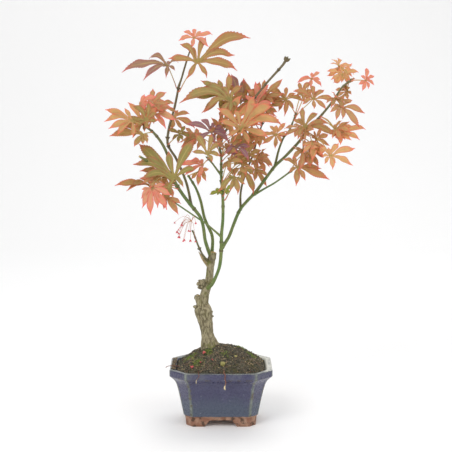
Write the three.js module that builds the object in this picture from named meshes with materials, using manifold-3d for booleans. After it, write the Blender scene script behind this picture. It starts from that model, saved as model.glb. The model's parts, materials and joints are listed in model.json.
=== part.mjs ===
// A Japanese maple bonsai in a glazed pot with cut corners, millimetres, +Z up, front towards -Y.
// The pot stands on z = 0. The wood and each leaf with its stalk are separate solids.

import * as THREE from 'three';
import { mergeVertices } from 'three/addons/utils/BufferGeometryUtils.js';
import Module from 'manifold-3d';

// ---- driving sizes ----

const POT_LENGTH = 112;       // across the rim, left to right
const POT_DEPTH = 90;         // across the rim, front to back
const POT_HEIGHT = 64;
const CORNER_CUT = 18;        // each rim corner is cut off by this much both ways
const RIM_HEIGHT = 8;         // height of the rim's flat band
const RIM_WALL = 6;           // width of the rim's flat top
const COVE_HEIGHT = 3;        // the hollow curve under the rim band
const COVE_DEPTH = 5;
const WALL_TAPER = 10;        // how far the wall leans in from the cove to the foot band
const PANEL_DEPTH = 1.2;      // recess of the four flat panels
const PANEL_MARGIN = 5;       // raised frame left around each panel
const WALL = 5;               // thickness of the wall at the pot's floor
const FLOOR = 7;              // thickness of the pot's floor
const FOOT_HEIGHT = 7.5;
const FOOT_BAND = 12;         // height of the unglazed band with the feet
const FOOT_STEP = 1.5;        // the unglazed band is set in by this much
const ARCH_WIDTH = 30;        // gap between two feet at the ground
const ARCH_SLOPE = 6;         // how far each side of the gap leans in
const DRAIN_WIDTH = 14;
const SCREEN_WIDTH = 26;      // mesh square over the drain hole
const SCREEN_THICK = 1.2;
const SCREEN_HOLE = 3;
const SCREEN_BAR = 1.8;

const SOIL_BELOW_RIM = 4;     // how far the soil's edge stays under the rim
const SOIL_MOUND = 25;        // how far the soil rises to the trunk
const MOUND_CURVE = 2;        // 1 is a plain cone, more keeps the mound full towards the rim
const COLLAR_DEPTH = 6;       // how deep the soil covers the trunk's flare
const ROOT_DEPTH = 12;        // how deep the trunk goes into the soil

const TRUNK_X = -12;
const TRUNK_Y = 9;
const TREE_RISE = 350;        // from the trunk's flare to the topmost leaf
const WOOD_GIRTH = 1;         // factor on every trunk and twig radius
const STALK_RADIUS = 0.6;     // radius of a leaf stalk
const STALK_LEAD = 0.35;      // share of a stalk that keeps to the blade's plane
const STALK_RAISE = 0.05;     // how far a stalk's bend is raised, as a share of its length
const LEAF_THICK = 0.8;       // a leaf's thickness along its midribs
const LOBE_SLIMNESS = 0.17;   // half the width of a lobe over its length
const GAP = 0.3;              // clearance between pieces that meet

const WOOD_SIDES = 8;
const TWIG_SIDES = 6;

const UNIT = TREE_RISE / 100;
const SOIL_TOP = POT_HEIGHT - SOIL_BELOW_RIM + SOIL_MOUND;

const wasm = await Module();
wasm.setup();

const UP = new THREE.Vector3(0, 0, 1);
const tree = new THREE.Group();
tree.name = 'maple_bonsai';

// ---- solids ----

function addPiece(name, geometry, color, roughness, metalness = 0) {
  const material = new THREE.MeshStandardMaterial({ color, roughness, metalness, flatShading: true });
  const mesh = new THREE.Mesh(geometry, material);
  mesh.name = name;
  tree.add(mesh);
  return mesh;
}

function geometryFrom(points, triangles) {
  const geometry = new THREE.BufferGeometry();
  const numbers = points.flatMap((point) => [point.x, point.y, point.z]);
  geometry.setAttribute('position', new THREE.Float32BufferAttribute(numbers, 3));
  geometry.setIndex(triangles.flat());
  return geometry;
}

function solidFrom(geometry) {
  const bare = geometry.clone();
  bare.deleteAttribute('normal');
  bare.deleteAttribute('uv');
  const merged = mergeVertices(bare, 1e-4);
  return new wasm.Manifold(new wasm.Mesh({
    numProp: 3,
    vertProperties: new Float32Array(merged.attributes.position.array),
    triVerts: new Uint32Array(merged.index.array),
  }));
}

function geometryOf(solid) {
  const mesh = solid.getMesh();
  const geometry = new THREE.BufferGeometry();
  geometry.setAttribute('position', new THREE.BufferAttribute(mesh.vertProperties, 3));
  geometry.setIndex(new THREE.BufferAttribute(mesh.triVerts, 1));
  return geometry;
}

// Skins a stack of closed rings that all have the same number of points, and closes both ends.
function stackRings(rings) {
  const sides = rings[0].length;
  const triangles = [];
  for (let level = 0; level < rings.length - 1; level += 1) {
    for (let side = 0; side < sides; side += 1) {
      const here = level * sides + side;
      const next = level * sides + (side + 1) % sides;
      triangles.push([here, next, next + sides]);
      triangles.push([here, next + sides, here + sides]);
    }
  }
  const points = rings.flat();
  const last = (rings.length - 1) * sides;
  for (const [start, flip] of [[0, true], [last, false]]) {
    const middle = points.length;
    points.push(rings[start / sides].reduce((sum, p) => sum.add(p), new THREE.Vector3()).divideScalar(sides));
    for (let side = 0; side < sides; side += 1) {
      const next = start + (side + 1) % sides;
      triangles.push(flip ? [next, start + side, middle] : [start + side, next, middle]);
    }
  }
  return geometryFrom(points, triangles);
}

// ---- pot ----

// One level of the pot: a rectangle with cut corners, set in from the rim's outline.
function potRing(inset, z) {
  const x = POT_LENGTH / 2 - inset;
  const y = POT_DEPTH / 2 - inset;
  const cut = CORNER_CUT - inset * (2 - Math.SQRT2);
  const corners = [
    [x, cut - y], [x, y - cut], [x - cut, y], [cut - x, y],
    [-x, y - cut], [-x, cut - y], [cut - x, -y], [x - cut, -y],
  ];
  return corners.map(([cx, cy]) => new THREE.Vector3(cx, cy, z));
}

const WALL_TOP_INSET = COVE_DEPTH;
const WALL_FOOT_INSET = COVE_DEPTH + WALL_TAPER;
const CAVITY_FLOOR = FOOT_HEIGHT + FLOOR;
const BAND_BOTTOM = POT_HEIGHT - RIM_HEIGHT;
const WALL_TOP = BAND_BOTTOM - COVE_HEIGHT;

function cavityInset(z) {
  const share = (POT_HEIGHT - z) / (POT_HEIGHT - CAVITY_FLOOR);
  return THREE.MathUtils.lerp(RIM_WALL, WALL_FOOT_INSET + WALL, share);
}

function boxSolid(width, depth, height, x, y, z) {
  return solidFrom(new THREE.BoxGeometry(width, depth, height).translate(x, y, z));
}

function archSolid(length, turn) {
  const outline = new THREE.Shape();
  outline.moveTo(-ARCH_WIDTH / 2 - ARCH_SLOPE, -FOOT_HEIGHT);
  outline.lineTo(ARCH_WIDTH / 2 + ARCH_SLOPE, -FOOT_HEIGHT);
  outline.lineTo(ARCH_WIDTH / 2 - ARCH_SLOPE, FOOT_HEIGHT);
  outline.lineTo(ARCH_SLOPE - ARCH_WIDTH / 2, FOOT_HEIGHT);
  outline.closePath();
  const bar = new THREE.ExtrudeGeometry(outline, { depth: length, bevelEnabled: false, steps: 1 });
  bar.translate(0, 0, -length / 2);
  bar.rotateX(Math.PI / 2);
  bar.rotateZ(turn);
  return solidFrom(bar);
}

// A slab that follows the wall's lean, pushed PANEL_DEPTH into the wall.
function panelSolid(halfWidthTop, halfWidthFoot, reachTop, reachFoot, turn) {
  const zTop = WALL_TOP - PANEL_MARGIN / 2;
  const zFoot = FOOT_BAND + PANEL_MARGIN;
  const ring = (z, width, reach) => {
    const out = reach + PANEL_DEPTH;
    const back = reach - PANEL_DEPTH;
    return [[-width, -out], [width, -out], [width, -back], [-width, -back]].map(([x, y]) => (
      new THREE.Vector3(x, y, z).applyAxisAngle(UP, turn)
    ));
  };
  return solidFrom(stackRings([ring(zFoot, halfWidthFoot, reachFoot), ring(zTop, halfWidthTop, reachTop)]));
}

function makePot() {
  const outside = [
    potRing(WALL_FOOT_INSET + FOOT_STEP * 2, 0),
    potRing(WALL_FOOT_INSET + FOOT_STEP, FOOT_BAND - FOOT_STEP),
    potRing(WALL_FOOT_INSET, FOOT_BAND),
    potRing(WALL_TOP_INSET, WALL_TOP),
    potRing(COVE_DEPTH * 0.3, WALL_TOP + COVE_HEIGHT * 0.6),
    potRing(0, BAND_BOTTOM),
    potRing(0, POT_HEIGHT - 1),
    potRing(1, POT_HEIGHT),
  ];
  const inside = [
    potRing(cavityInset(POT_HEIGHT), POT_HEIGHT),
    potRing(cavityInset(CAVITY_FLOOR), CAVITY_FLOOR),
  ];
  let pot = solidFrom(stackRings([...outside, ...inside]));
  pot = pot.subtract(archSolid(POT_DEPTH, 0));
  pot = pot.subtract(archSolid(POT_LENGTH, Math.PI / 2));
  const drain = new THREE.CylinderGeometry(DRAIN_WIDTH / 2, DRAIN_WIDTH / 2, CAVITY_FLOOR * 2 + 1, 16);
  pot = pot.subtract(solidFrom(drain.rotateX(Math.PI / 2)));
  const insetAt = (z) => THREE.MathUtils.mapLinear(z, FOOT_BAND, WALL_TOP, WALL_FOOT_INSET, WALL_TOP_INSET);
  const levels = [WALL_TOP - PANEL_MARGIN / 2, FOOT_BAND + PANEL_MARGIN];
  for (const [across, along, turns] of [[POT_LENGTH, POT_DEPTH, [0, 2]], [POT_DEPTH, POT_LENGTH, [1, 3]]]) {
    const [top, foot] = levels.map((z) => {
      const straight = across / 2 - insetAt(z) - (CORNER_CUT - insetAt(z) * (2 - Math.SQRT2));
      return { width: straight - PANEL_MARGIN, reach: along / 2 - insetAt(z) };
    });
    for (const quarter of turns) {
      pot = pot.subtract(panelSolid(top.width, foot.width, top.reach, foot.reach, quarter * Math.PI / 2));
    }
  }
  addPiece('pot', geometryOf(pot), 0x4e5078, 0.35);
}

// The mesh square that keeps the soil from falling through the drain hole.
function makeScreen() {
  const z = CAVITY_FLOOR + GAP + SCREEN_THICK / 2;
  let screen = boxSolid(SCREEN_WIDTH, SCREEN_WIDTH, SCREEN_THICK, 0, 0, z);
  const pitch = SCREEN_HOLE + SCREEN_BAR;
  const count = Math.floor((SCREEN_WIDTH - SCREEN_BAR) / pitch);
  for (let row = 0; row < count; row += 1) {
    for (let column = 0; column < count; column += 1) {
      const x = (column - (count - 1) / 2) * pitch;
      const y = (row - (count - 1) / 2) * pitch;
      screen = screen.subtract(boxSolid(SCREEN_HOLE, SCREEN_HOLE, SCREEN_THICK * 2, x, y, z));
    }
  }
  addPiece('drain_screen', geometryOf(screen), 0x2b3a2c, 0.6);
}

// ---- wood ----

const trunkFoot = new THREE.Vector3(TRUNK_X, TRUNK_Y, SOIL_TOP - COLLAR_DEPTH);
const inTree = ([x, y, z]) => new THREE.Vector3(x, y, z).multiplyScalar(UNIT).add(trunkFoot);

// A round rod along a smooth curve whose radius changes evenly between the listed values.
class Rod {
  constructor(points, radii) {
    this.curve = new THREE.CatmullRomCurve3(points, false, 'centripetal');
    this.radii = radii.map((radius) => radius * UNIT * WOOD_GIRTH);
  }

  radius(share) {
    const place = share * (this.radii.length - 1);
    const low = Math.min(Math.floor(place), this.radii.length - 2);
    return THREE.MathUtils.lerp(this.radii[low], this.radii[low + 1], place - low);
  }

  // getPoint keeps the listed points at even shares, so a radius stays at its own point.
  ring(share, side, sides, extra = 0) {
    const tangent = this.curve.getTangent(share);
    const across = new THREE.Vector3(0, 1, 0).cross(tangent).normalize();
    const along = tangent.clone().cross(across);
    const angle = (side / sides) * 2 * Math.PI;
    const radius = this.radius(share) + extra;
    return this.curve.getPoint(share)
      .addScaledVector(across, Math.cos(angle) * radius)
      .addScaledVector(along, Math.sin(angle) * radius);
  }

  geometry(sides, steps, extra = 0) {
    const rings = [];
    for (let step = 0; step <= steps; step += 1) {
      rings.push(Array.from({ length: sides }, (_, side) => this.ring(step / steps, side, sides, extra)));
    }
    return stackRings(rings);
  }

  // Where a piece of the given radius starts when it leaves the rod at a share and heads for a target.
  shoulder(share, target, radius) {
    const from = this.curve.getPoint(share);
    const tangent = this.curve.getTangent(share);
    const towards = target.clone().sub(from);
    const sideways = towards.addScaledVector(tangent, -towards.dot(tangent)).normalize();
    if (share < 1) {
      return from.addScaledVector(sideways, this.radius(share) + radius + GAP);
    }
    return from.addScaledVector(tangent, radius + GAP).addScaledVector(sideways, radius + GAP);
  }
}

const rods = {};

// Points are hundredths of TREE_RISE, measured from the trunk's flare, just under the soil.
const TRUNK_POINTS = [
  [0, 0, -100 * ROOT_DEPTH / TREE_RISE], [0, 0, 0.5], [-1, 0, 5], [-2, 0, 9.5], [-2.6, 0, 12.5],
  [-2, 0, 15], [-1.5, 0, 18.5], [-0.5, 0, 21.5], [0, 0, 25.5], [0.5, 0, 28.5], [1, 0, 31],
];
const TRUNK_RADII = [3, 2.5, 1.8, 2.2, 2.7, 1.5, 1.5, 1.35, 1.2, 1.35, 1.3];
const PRUNED_STUB = { points: [[-2.2, 0, 12.6], [-3.6, -0.5, 14.6], [-4.2, -0.8, 17.4]], radii: [1, 1, 0.9] };
const DEAD_STUB = { points: [[0.1, 0, 26.5], [-1.6, -0.4, 28.3], [-3.4, -1, 31]], radii: [0.6, 0.45, 0.15] };

// from and at say which rod a twig grows on and how far along it. A parent comes before its twigs.
const TWIGS = [
  { name: 'left_branch', from: 'trunk', at: 0.93, radii: [0.55, 0.5, 0.55, 0.5, 0.45, 0.4, 0.3],
    points: [[-2, -3.5, 39], [-3, -4, 42.5], [-6, -5, 46.5], [-10.5, -7, 53.5], [-12, -9, 60],
      [-14, -10, 65], [-17, -11, 69], [-20.5, -12, 71.5]] },
  { name: 'cut_twig', from: 'left_branch', at: 0.53, radii: [0.4, 0.35],
    points: [[-16.5, -12.5, 59], [-20.5, -17, 62]] },
  { name: 'crown_branch', from: 'left_branch', at: 0.375, radii: [0.4, 0.4, 0.4, 0.35],
    points: [[-7.5, 0.5, 53], [-11, 5, 60.5], [-13.5, 7, 64.5], [-13, 9, 70.5], [-11.5, 10, 76],
      [-10, 9, 83]] },
  { name: 'crown_twig', from: 'crown_branch', at: 1, radii: [0.3, 0.3, 0.2],
    points: [[-8.5, 9, 87.5], [-7, 7.5, 92], [-6, 7.5, 95]] },
  { name: 'bare_left_twig', from: 'trunk', at: 0.86, radii: [0.35, 0.3, 0.25],
    points: [[-3.5, -5.5, 33.5], [-5, -9, 38.5]] },
  { name: 'middle_branch', from: 'trunk', at: 1, radii: [0.5, 0.5, 0.45, 0.4, 0.35],
    points: [[0.5, 3.5, 36], [-1, 5, 39], [-2, 5.5, 41.5], [-3, 7, 46], [-4, 7.5, 49], [-5, 9, 51],
      [-7, 10.5, 54]] },
  { name: 'centre_branch', from: 'trunk', at: 0.63, radii: [0.6, 0.5, 0.55, 0.5, 0.45, 0.4, 0.3],
    points: [[1.5, -4, 23], [3, -4, 27], [3.5, -3.5, 31.5], [3.6, -3.5, 37], [4, -3.5, 41.5],
      [4, -2, 48], [3.5, -1.5, 55.5], [3.5, -0.5, 61], [2.5, 0, 67]] },
  { name: 'low_green_twig', from: 'centre_branch', at: 0.44, radii: [0.3, 0.25, 0.2],
    points: [[-1, -9, 41], [-3, -10.5, 42.5], [-9, -13.5, 47], [-11, -14.5, 48.5]] },
  { name: 'centre_side_twig', from: 'centre_branch', at: 0.78, radii: [0.3, 0.25],
    points: [[1, -5.5, 59], [-0.6, -9, 61]] },
  { name: 'right_branch', from: 'centre_branch', at: 0.373,
    radii: [0.5, 0.5, 0.5, 0.45, 0.45, 0.4, 0.3, 0.25],
    points: [[6, 0, 36], [9.5, 4, 44], [14.5, 5.5, 49.5], [20.5, 6.5, 57.5], [23.5, 5.5, 60.5],
      [28, 4, 65.5], [31, 3.5, 69.5], [34.5, 2, 73.5], [38.5, 1.5, 78.5], [41, 0.5, 82.5],
      [43.5, 0.5, 84.5]] },
  { name: 'upright_twig', from: 'right_branch', at: 0.186, radii: [0.35, 0.3, 0.25],
    points: [[10.5, 10, 52.5], [14, 13.5, 61.5], [15, 14.5, 65.5], [17, 14.5, 71.5]] },
  { name: 'small_right_twig', from: 'right_branch', at: 0.273, radii: [0.3, 0.25],
    points: [[20, 1.5, 52.5], [25, -2, 56.5]] },
  { name: 'right_leafy_twig', from: 'right_branch', at: 0.37, radii: [0.35, 0.3, 0.25],
    points: [[23.5, 10.5, 66.5], [25.5, 12, 69], [27.5, 13.5, 74]] },
  { name: 'bare_top_twig', from: 'centre_branch', at: 0.96, radii: [0.4, 0.35, 0.35, 0.45],
    points: [[5, 5.5, 69], [8.5, 7.5, 72.5], [14, 10.5, 79], [18.5, 11, 84.5], [23, 11, 89.5],
      [24, 11, 91]] },
];

const BARK = 0x8a7f68;
const GREEN_BARK = 0x7f8a3c;
const OLD_TWIGS = ['bare_left_twig', 'bare_top_twig', 'crown_branch', 'crown_twig', 'upright_twig'];

function makeTrunk() {
  const trunk = new Rod(TRUNK_POINTS.map(inTree), TRUNK_RADII);
  rods.trunk = trunk;
  let wood = solidFrom(trunk.geometry(WOOD_SIDES, TRUNK_POINTS.length * 2));
  for (const stub of [PRUNED_STUB, DEAD_STUB]) {
    const rod = new Rod(stub.points.map(inTree), stub.radii);
    wood = wood.add(solidFrom(rod.geometry(TWIG_SIDES, stub.points.length)));
  }
  addPiece('trunk', geometryOf(wood), BARK, 0.85);
}

function makeTwig({ name, from, at, points, radii }) {
  const parent = rods[from];
  const route = points.map(inTree);
  const start = parent.shoulder(at, route[0], radii[0] * UNIT * WOOD_GIRTH);
  rods[name] = new Rod([start, ...route], radii);
  const geometry = rods[name].geometry(TWIG_SIDES, route.length * 2);
  addPiece(name, geometry, OLD_TWIGS.includes(name) ? BARK : GREEN_BARK, 0.7);
}

function makeWood() {
  makeTrunk();
  TWIGS.forEach(makeTwig);
}

// ---- soil ----

// Fills the pot, rises to the trunk, and leaves a clear socket for the trunk and the drain screen.
function makeSoil() {
  const edge = POT_HEIGHT - SOIL_BELOW_RIM;
  const bottom = CAVITY_FLOOR + GAP;
  const rings = [potRing(cavityInset(bottom) + GAP, bottom), potRing(cavityInset(edge) + GAP, edge)];
  for (const share of [0.8, 0.6, 0.4, 0.2]) {
    const rise = SOIL_MOUND * (1 - share ** MOUND_CURVE);
    rings.push(rings[1].map((corner) => new THREE.Vector3(
      THREE.MathUtils.lerp(TRUNK_X, corner.x, share),
      THREE.MathUtils.lerp(TRUNK_Y, corner.y, share),
      edge + rise,
    )));
  }
  let soil = solidFrom(stackRings(rings));
  soil = soil.subtract(solidFrom(rods.trunk.geometry(WOOD_SIDES, TRUNK_POINTS.length * 2, GAP + 0.1)));
  const pocket = SCREEN_WIDTH + 2 * GAP;
  soil = soil.subtract(boxSolid(pocket, pocket, 2 * (SCREEN_THICK + GAP), 0, 0, bottom));
  addPiece('soil', geometryOf(soil), 0x3d3420, 0.95);
}

// ---- leaves ----

// Each lobe's stations: the share of its reach, and its half width there as a share of the greatest.
const LOBE_STATIONS = [[0.24, 0.45], [0.48, 1], [0.76, 0.62]];
const STALK_STATIONS = [0.14, 0.3, 0.55, 0.8, 1];
const NOTCH_REACH = 0.15;     // the notch between two lobes, as a share of the shorter one
const LOBE_ROOM = 0.75;       // share of the space between its neighbours that a lobe may take
const STALK_SPREAD = 50;      // a stalk leaves through a gap between lobes at least this wide, in degrees

// The smaller turn between two directions, in degrees.
function turnBetween(a, b) {
  return Math.abs((((a - b) % 360) + 540) % 360 - 180);
}

// Draws a palmate leaf with its stalk as one closed star: every arm has a ridge line on each face and
// two edges, neighbouring arms share the notch between them, and all arms share the two hub points.
function leafGeometry(hub, slopes, arch, lobes, stalkEnd) {
  const [rise, turn] = slopes;
  const inPlane = (angle) => {
    const a = THREE.MathUtils.degToRad(angle);
    return new THREE.Vector3(Math.cos(a), Math.sin(a) * rise + Math.cos(a) * turn, Math.sin(a));
  };
  const normal = inPlane(0).cross(inPlane(90)).normalize();
  const inOrder = [...lobes].sort((a, b) => a[0] - b[0]);
  const arms = inOrder.map(([angle, reach]) => ({ angle, reach: reach * UNIT }));
  const spreadAfter = (i) => ((arms[(i + 1) % arms.length].angle - arms[i].angle + 360) % 360) || 360;
  const homeward = stalkEnd.clone().sub(hub);
  const homeAngle = THREE.MathUtils.radToDeg(Math.atan2(homeward.z, homeward.x));
  // The angle inside the gap after arm i that is nearest to the way home.
  const exitAfter = (i) => {
    const low = arms[i].angle + STALK_SPREAD / 2;
    const high = arms[i].angle + spreadAfter(i) - STALK_SPREAD / 2;
    const home = [homeAngle, homeAngle + 360].find((angle) => angle >= arms[i].angle) ?? homeAngle;
    const inside = home <= arms[i].angle + spreadAfter(i) ? home : nearestEnd(low, high);
    return THREE.MathUtils.clamp(inside, low, high);
  };
  const turnHome = (i) => turnBetween(exitAfter(i), homeAngle);
  const nearestEnd = (low, high) => (
    turnBetween(low, homeAngle) < turnBetween(high, homeAngle) ? low : high
  );
  const gaps = arms.map((_, i) => i).filter((i) => spreadAfter(i) >= STALK_SPREAD);
  const doorway = gaps.reduce((best, i) => (turnHome(i) < turnHome(best) ? i : best), gaps[0]);
  const stalkAngle = exitAfter(doorway);
  arms.splice(doorway + 1, 0, { angle: stalkAngle, reach: Infinity, stalk: true });

  const points = [hub.clone().addScaledVector(normal, LEAF_THICK / 2)];
  points.push(hub.clone().addScaledVector(normal, -LEAF_THICK / 2));
  const notches = arms.map((arm, i) => {
    const middle = arm.angle + spreadAfter(i) / 2;
    const shorter = Math.min(arm.reach, arms[(i + 1) % arms.length].reach);
    const notch = hub.clone().addScaledVector(inPlane(middle), shorter * NOTCH_REACH);
    points.push(notch.addScaledVector(UP, lift(shorter, NOTCH_REACH)));
    return points.length - 1;
  });

  const triangles = [];
  arms.forEach((arm, i) => {
    const left = notches[i];
    const right = notches[(i + arms.length - 1) % arms.length];
    let ring = { left, right, top: 0, bottom: 1 };
    const spread = Math.min(spreadAfter(i), spreadAfter((i + arms.length - 1) % arms.length));
    const stations = arm.stalk ? stalkStations(arm) : lobeStations(arm, spread);
    for (const station of stations) {
      const first = points.length;
      points.push(station.left, station.right, station.top, station.bottom);
      const next = { left: first, right: first + 1, top: first + 2, bottom: first + 3 };
      triangles.push([ring.top, ring.right, next.top], [ring.right, next.right, next.top]);
      triangles.push([ring.top, next.top, ring.left], [ring.left, next.top, next.left]);
      triangles.push([ring.bottom, next.bottom, ring.right], [ring.right, next.bottom, next.right]);
      triangles.push([ring.bottom, ring.left, next.bottom], [ring.left, next.left, next.bottom]);
      ring = next;
    }
    if (arm.stalk) {
      triangles.push([ring.top, ring.right, ring.bottom], [ring.top, ring.bottom, ring.left]);
    } else {
      const tip = points.length;
      points.push(centre(arm, 1));
      triangles.push([ring.top, ring.right, tip], [ring.right, ring.bottom, tip]);
      triangles.push([ring.bottom, ring.left, tip], [ring.left, ring.top, tip]);
    }
  });
  return geometryFrom(points, triangles);

  function lift(reach, share) {
    return 4 * arch * reach * share * (1 - share);
  }

  function centre(arm, share) {
    const level = hub.clone().addScaledVector(inPlane(arm.angle), arm.reach * share);
    return level.addScaledVector(UP, lift(arm.reach, share));
  }

  function lobeStations(arm, spread) {
    const sideways = normal.clone().cross(inPlane(arm.angle)).normalize();
    const room = Math.tan(THREE.MathUtils.degToRad(Math.min(spread, 80) / 2)) * LOBE_ROOM;
    return LOBE_STATIONS.map(([share, fullness]) => {
      const middle = centre(arm, share);
      const half = Math.min(LOBE_SLIMNESS * fullness * arm.reach, room * share * arm.reach);
      const thick = LEAF_THICK / 2 * (1 - share * 0.5);
      return {
        left: middle.clone().addScaledVector(sideways, half),
        right: middle.clone().addScaledVector(sideways, -half),
        top: middle.clone().addScaledVector(normal, thick),
        bottom: middle.clone().addScaledVector(normal, -thick),
      };
    });
  }

  // The stalk leaves in the blade's plane and bends, a little raised, to its twig.
  function stalkStations(arm) {
    const length = homeward.length();
    const outward = inPlane(arm.angle).normalize();
    const across = normal.clone().cross(outward);
    const route = new THREE.CubicBezierCurve3(
      hub,
      hub.clone().addScaledVector(outward, length * STALK_LEAD),
      hub.clone().lerp(stalkEnd, 1 - STALK_LEAD).addScaledVector(UP, length * STALK_RAISE),
      stalkEnd,
    );
    return STALK_STATIONS.map((share) => {
      const middle = route.getPoint(share);
      const tangent = route.getTangent(share);
      const upwards = tangent.clone().cross(across).normalize();
      const sideways = upwards.clone().cross(tangent);
      return {
        left: middle.clone().addScaledVector(sideways, STALK_RADIUS),
        right: middle.clone().addScaledVector(sideways, -STALK_RADIUS),
        top: middle.clone().addScaledVector(upwards, STALK_RADIUS),
        bottom: middle.clone().addScaledVector(upwards, -STALK_RADIUS),
      };
    });
  }
}

// Every leaf: its hub and the reach of its lobes in hundredths of TREE_RISE, each lobe's direction in
// degrees seen from the front (0 right, 90 up), and how far the blade leans back per unit up and right.
const OLIVE = 0x8c8440;
const BRONZE = 0xa5825a;
const ORANGE = 0xc87850;
const PINK = 0xd06a62;
const PURPLE = 0x94606a;

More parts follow.
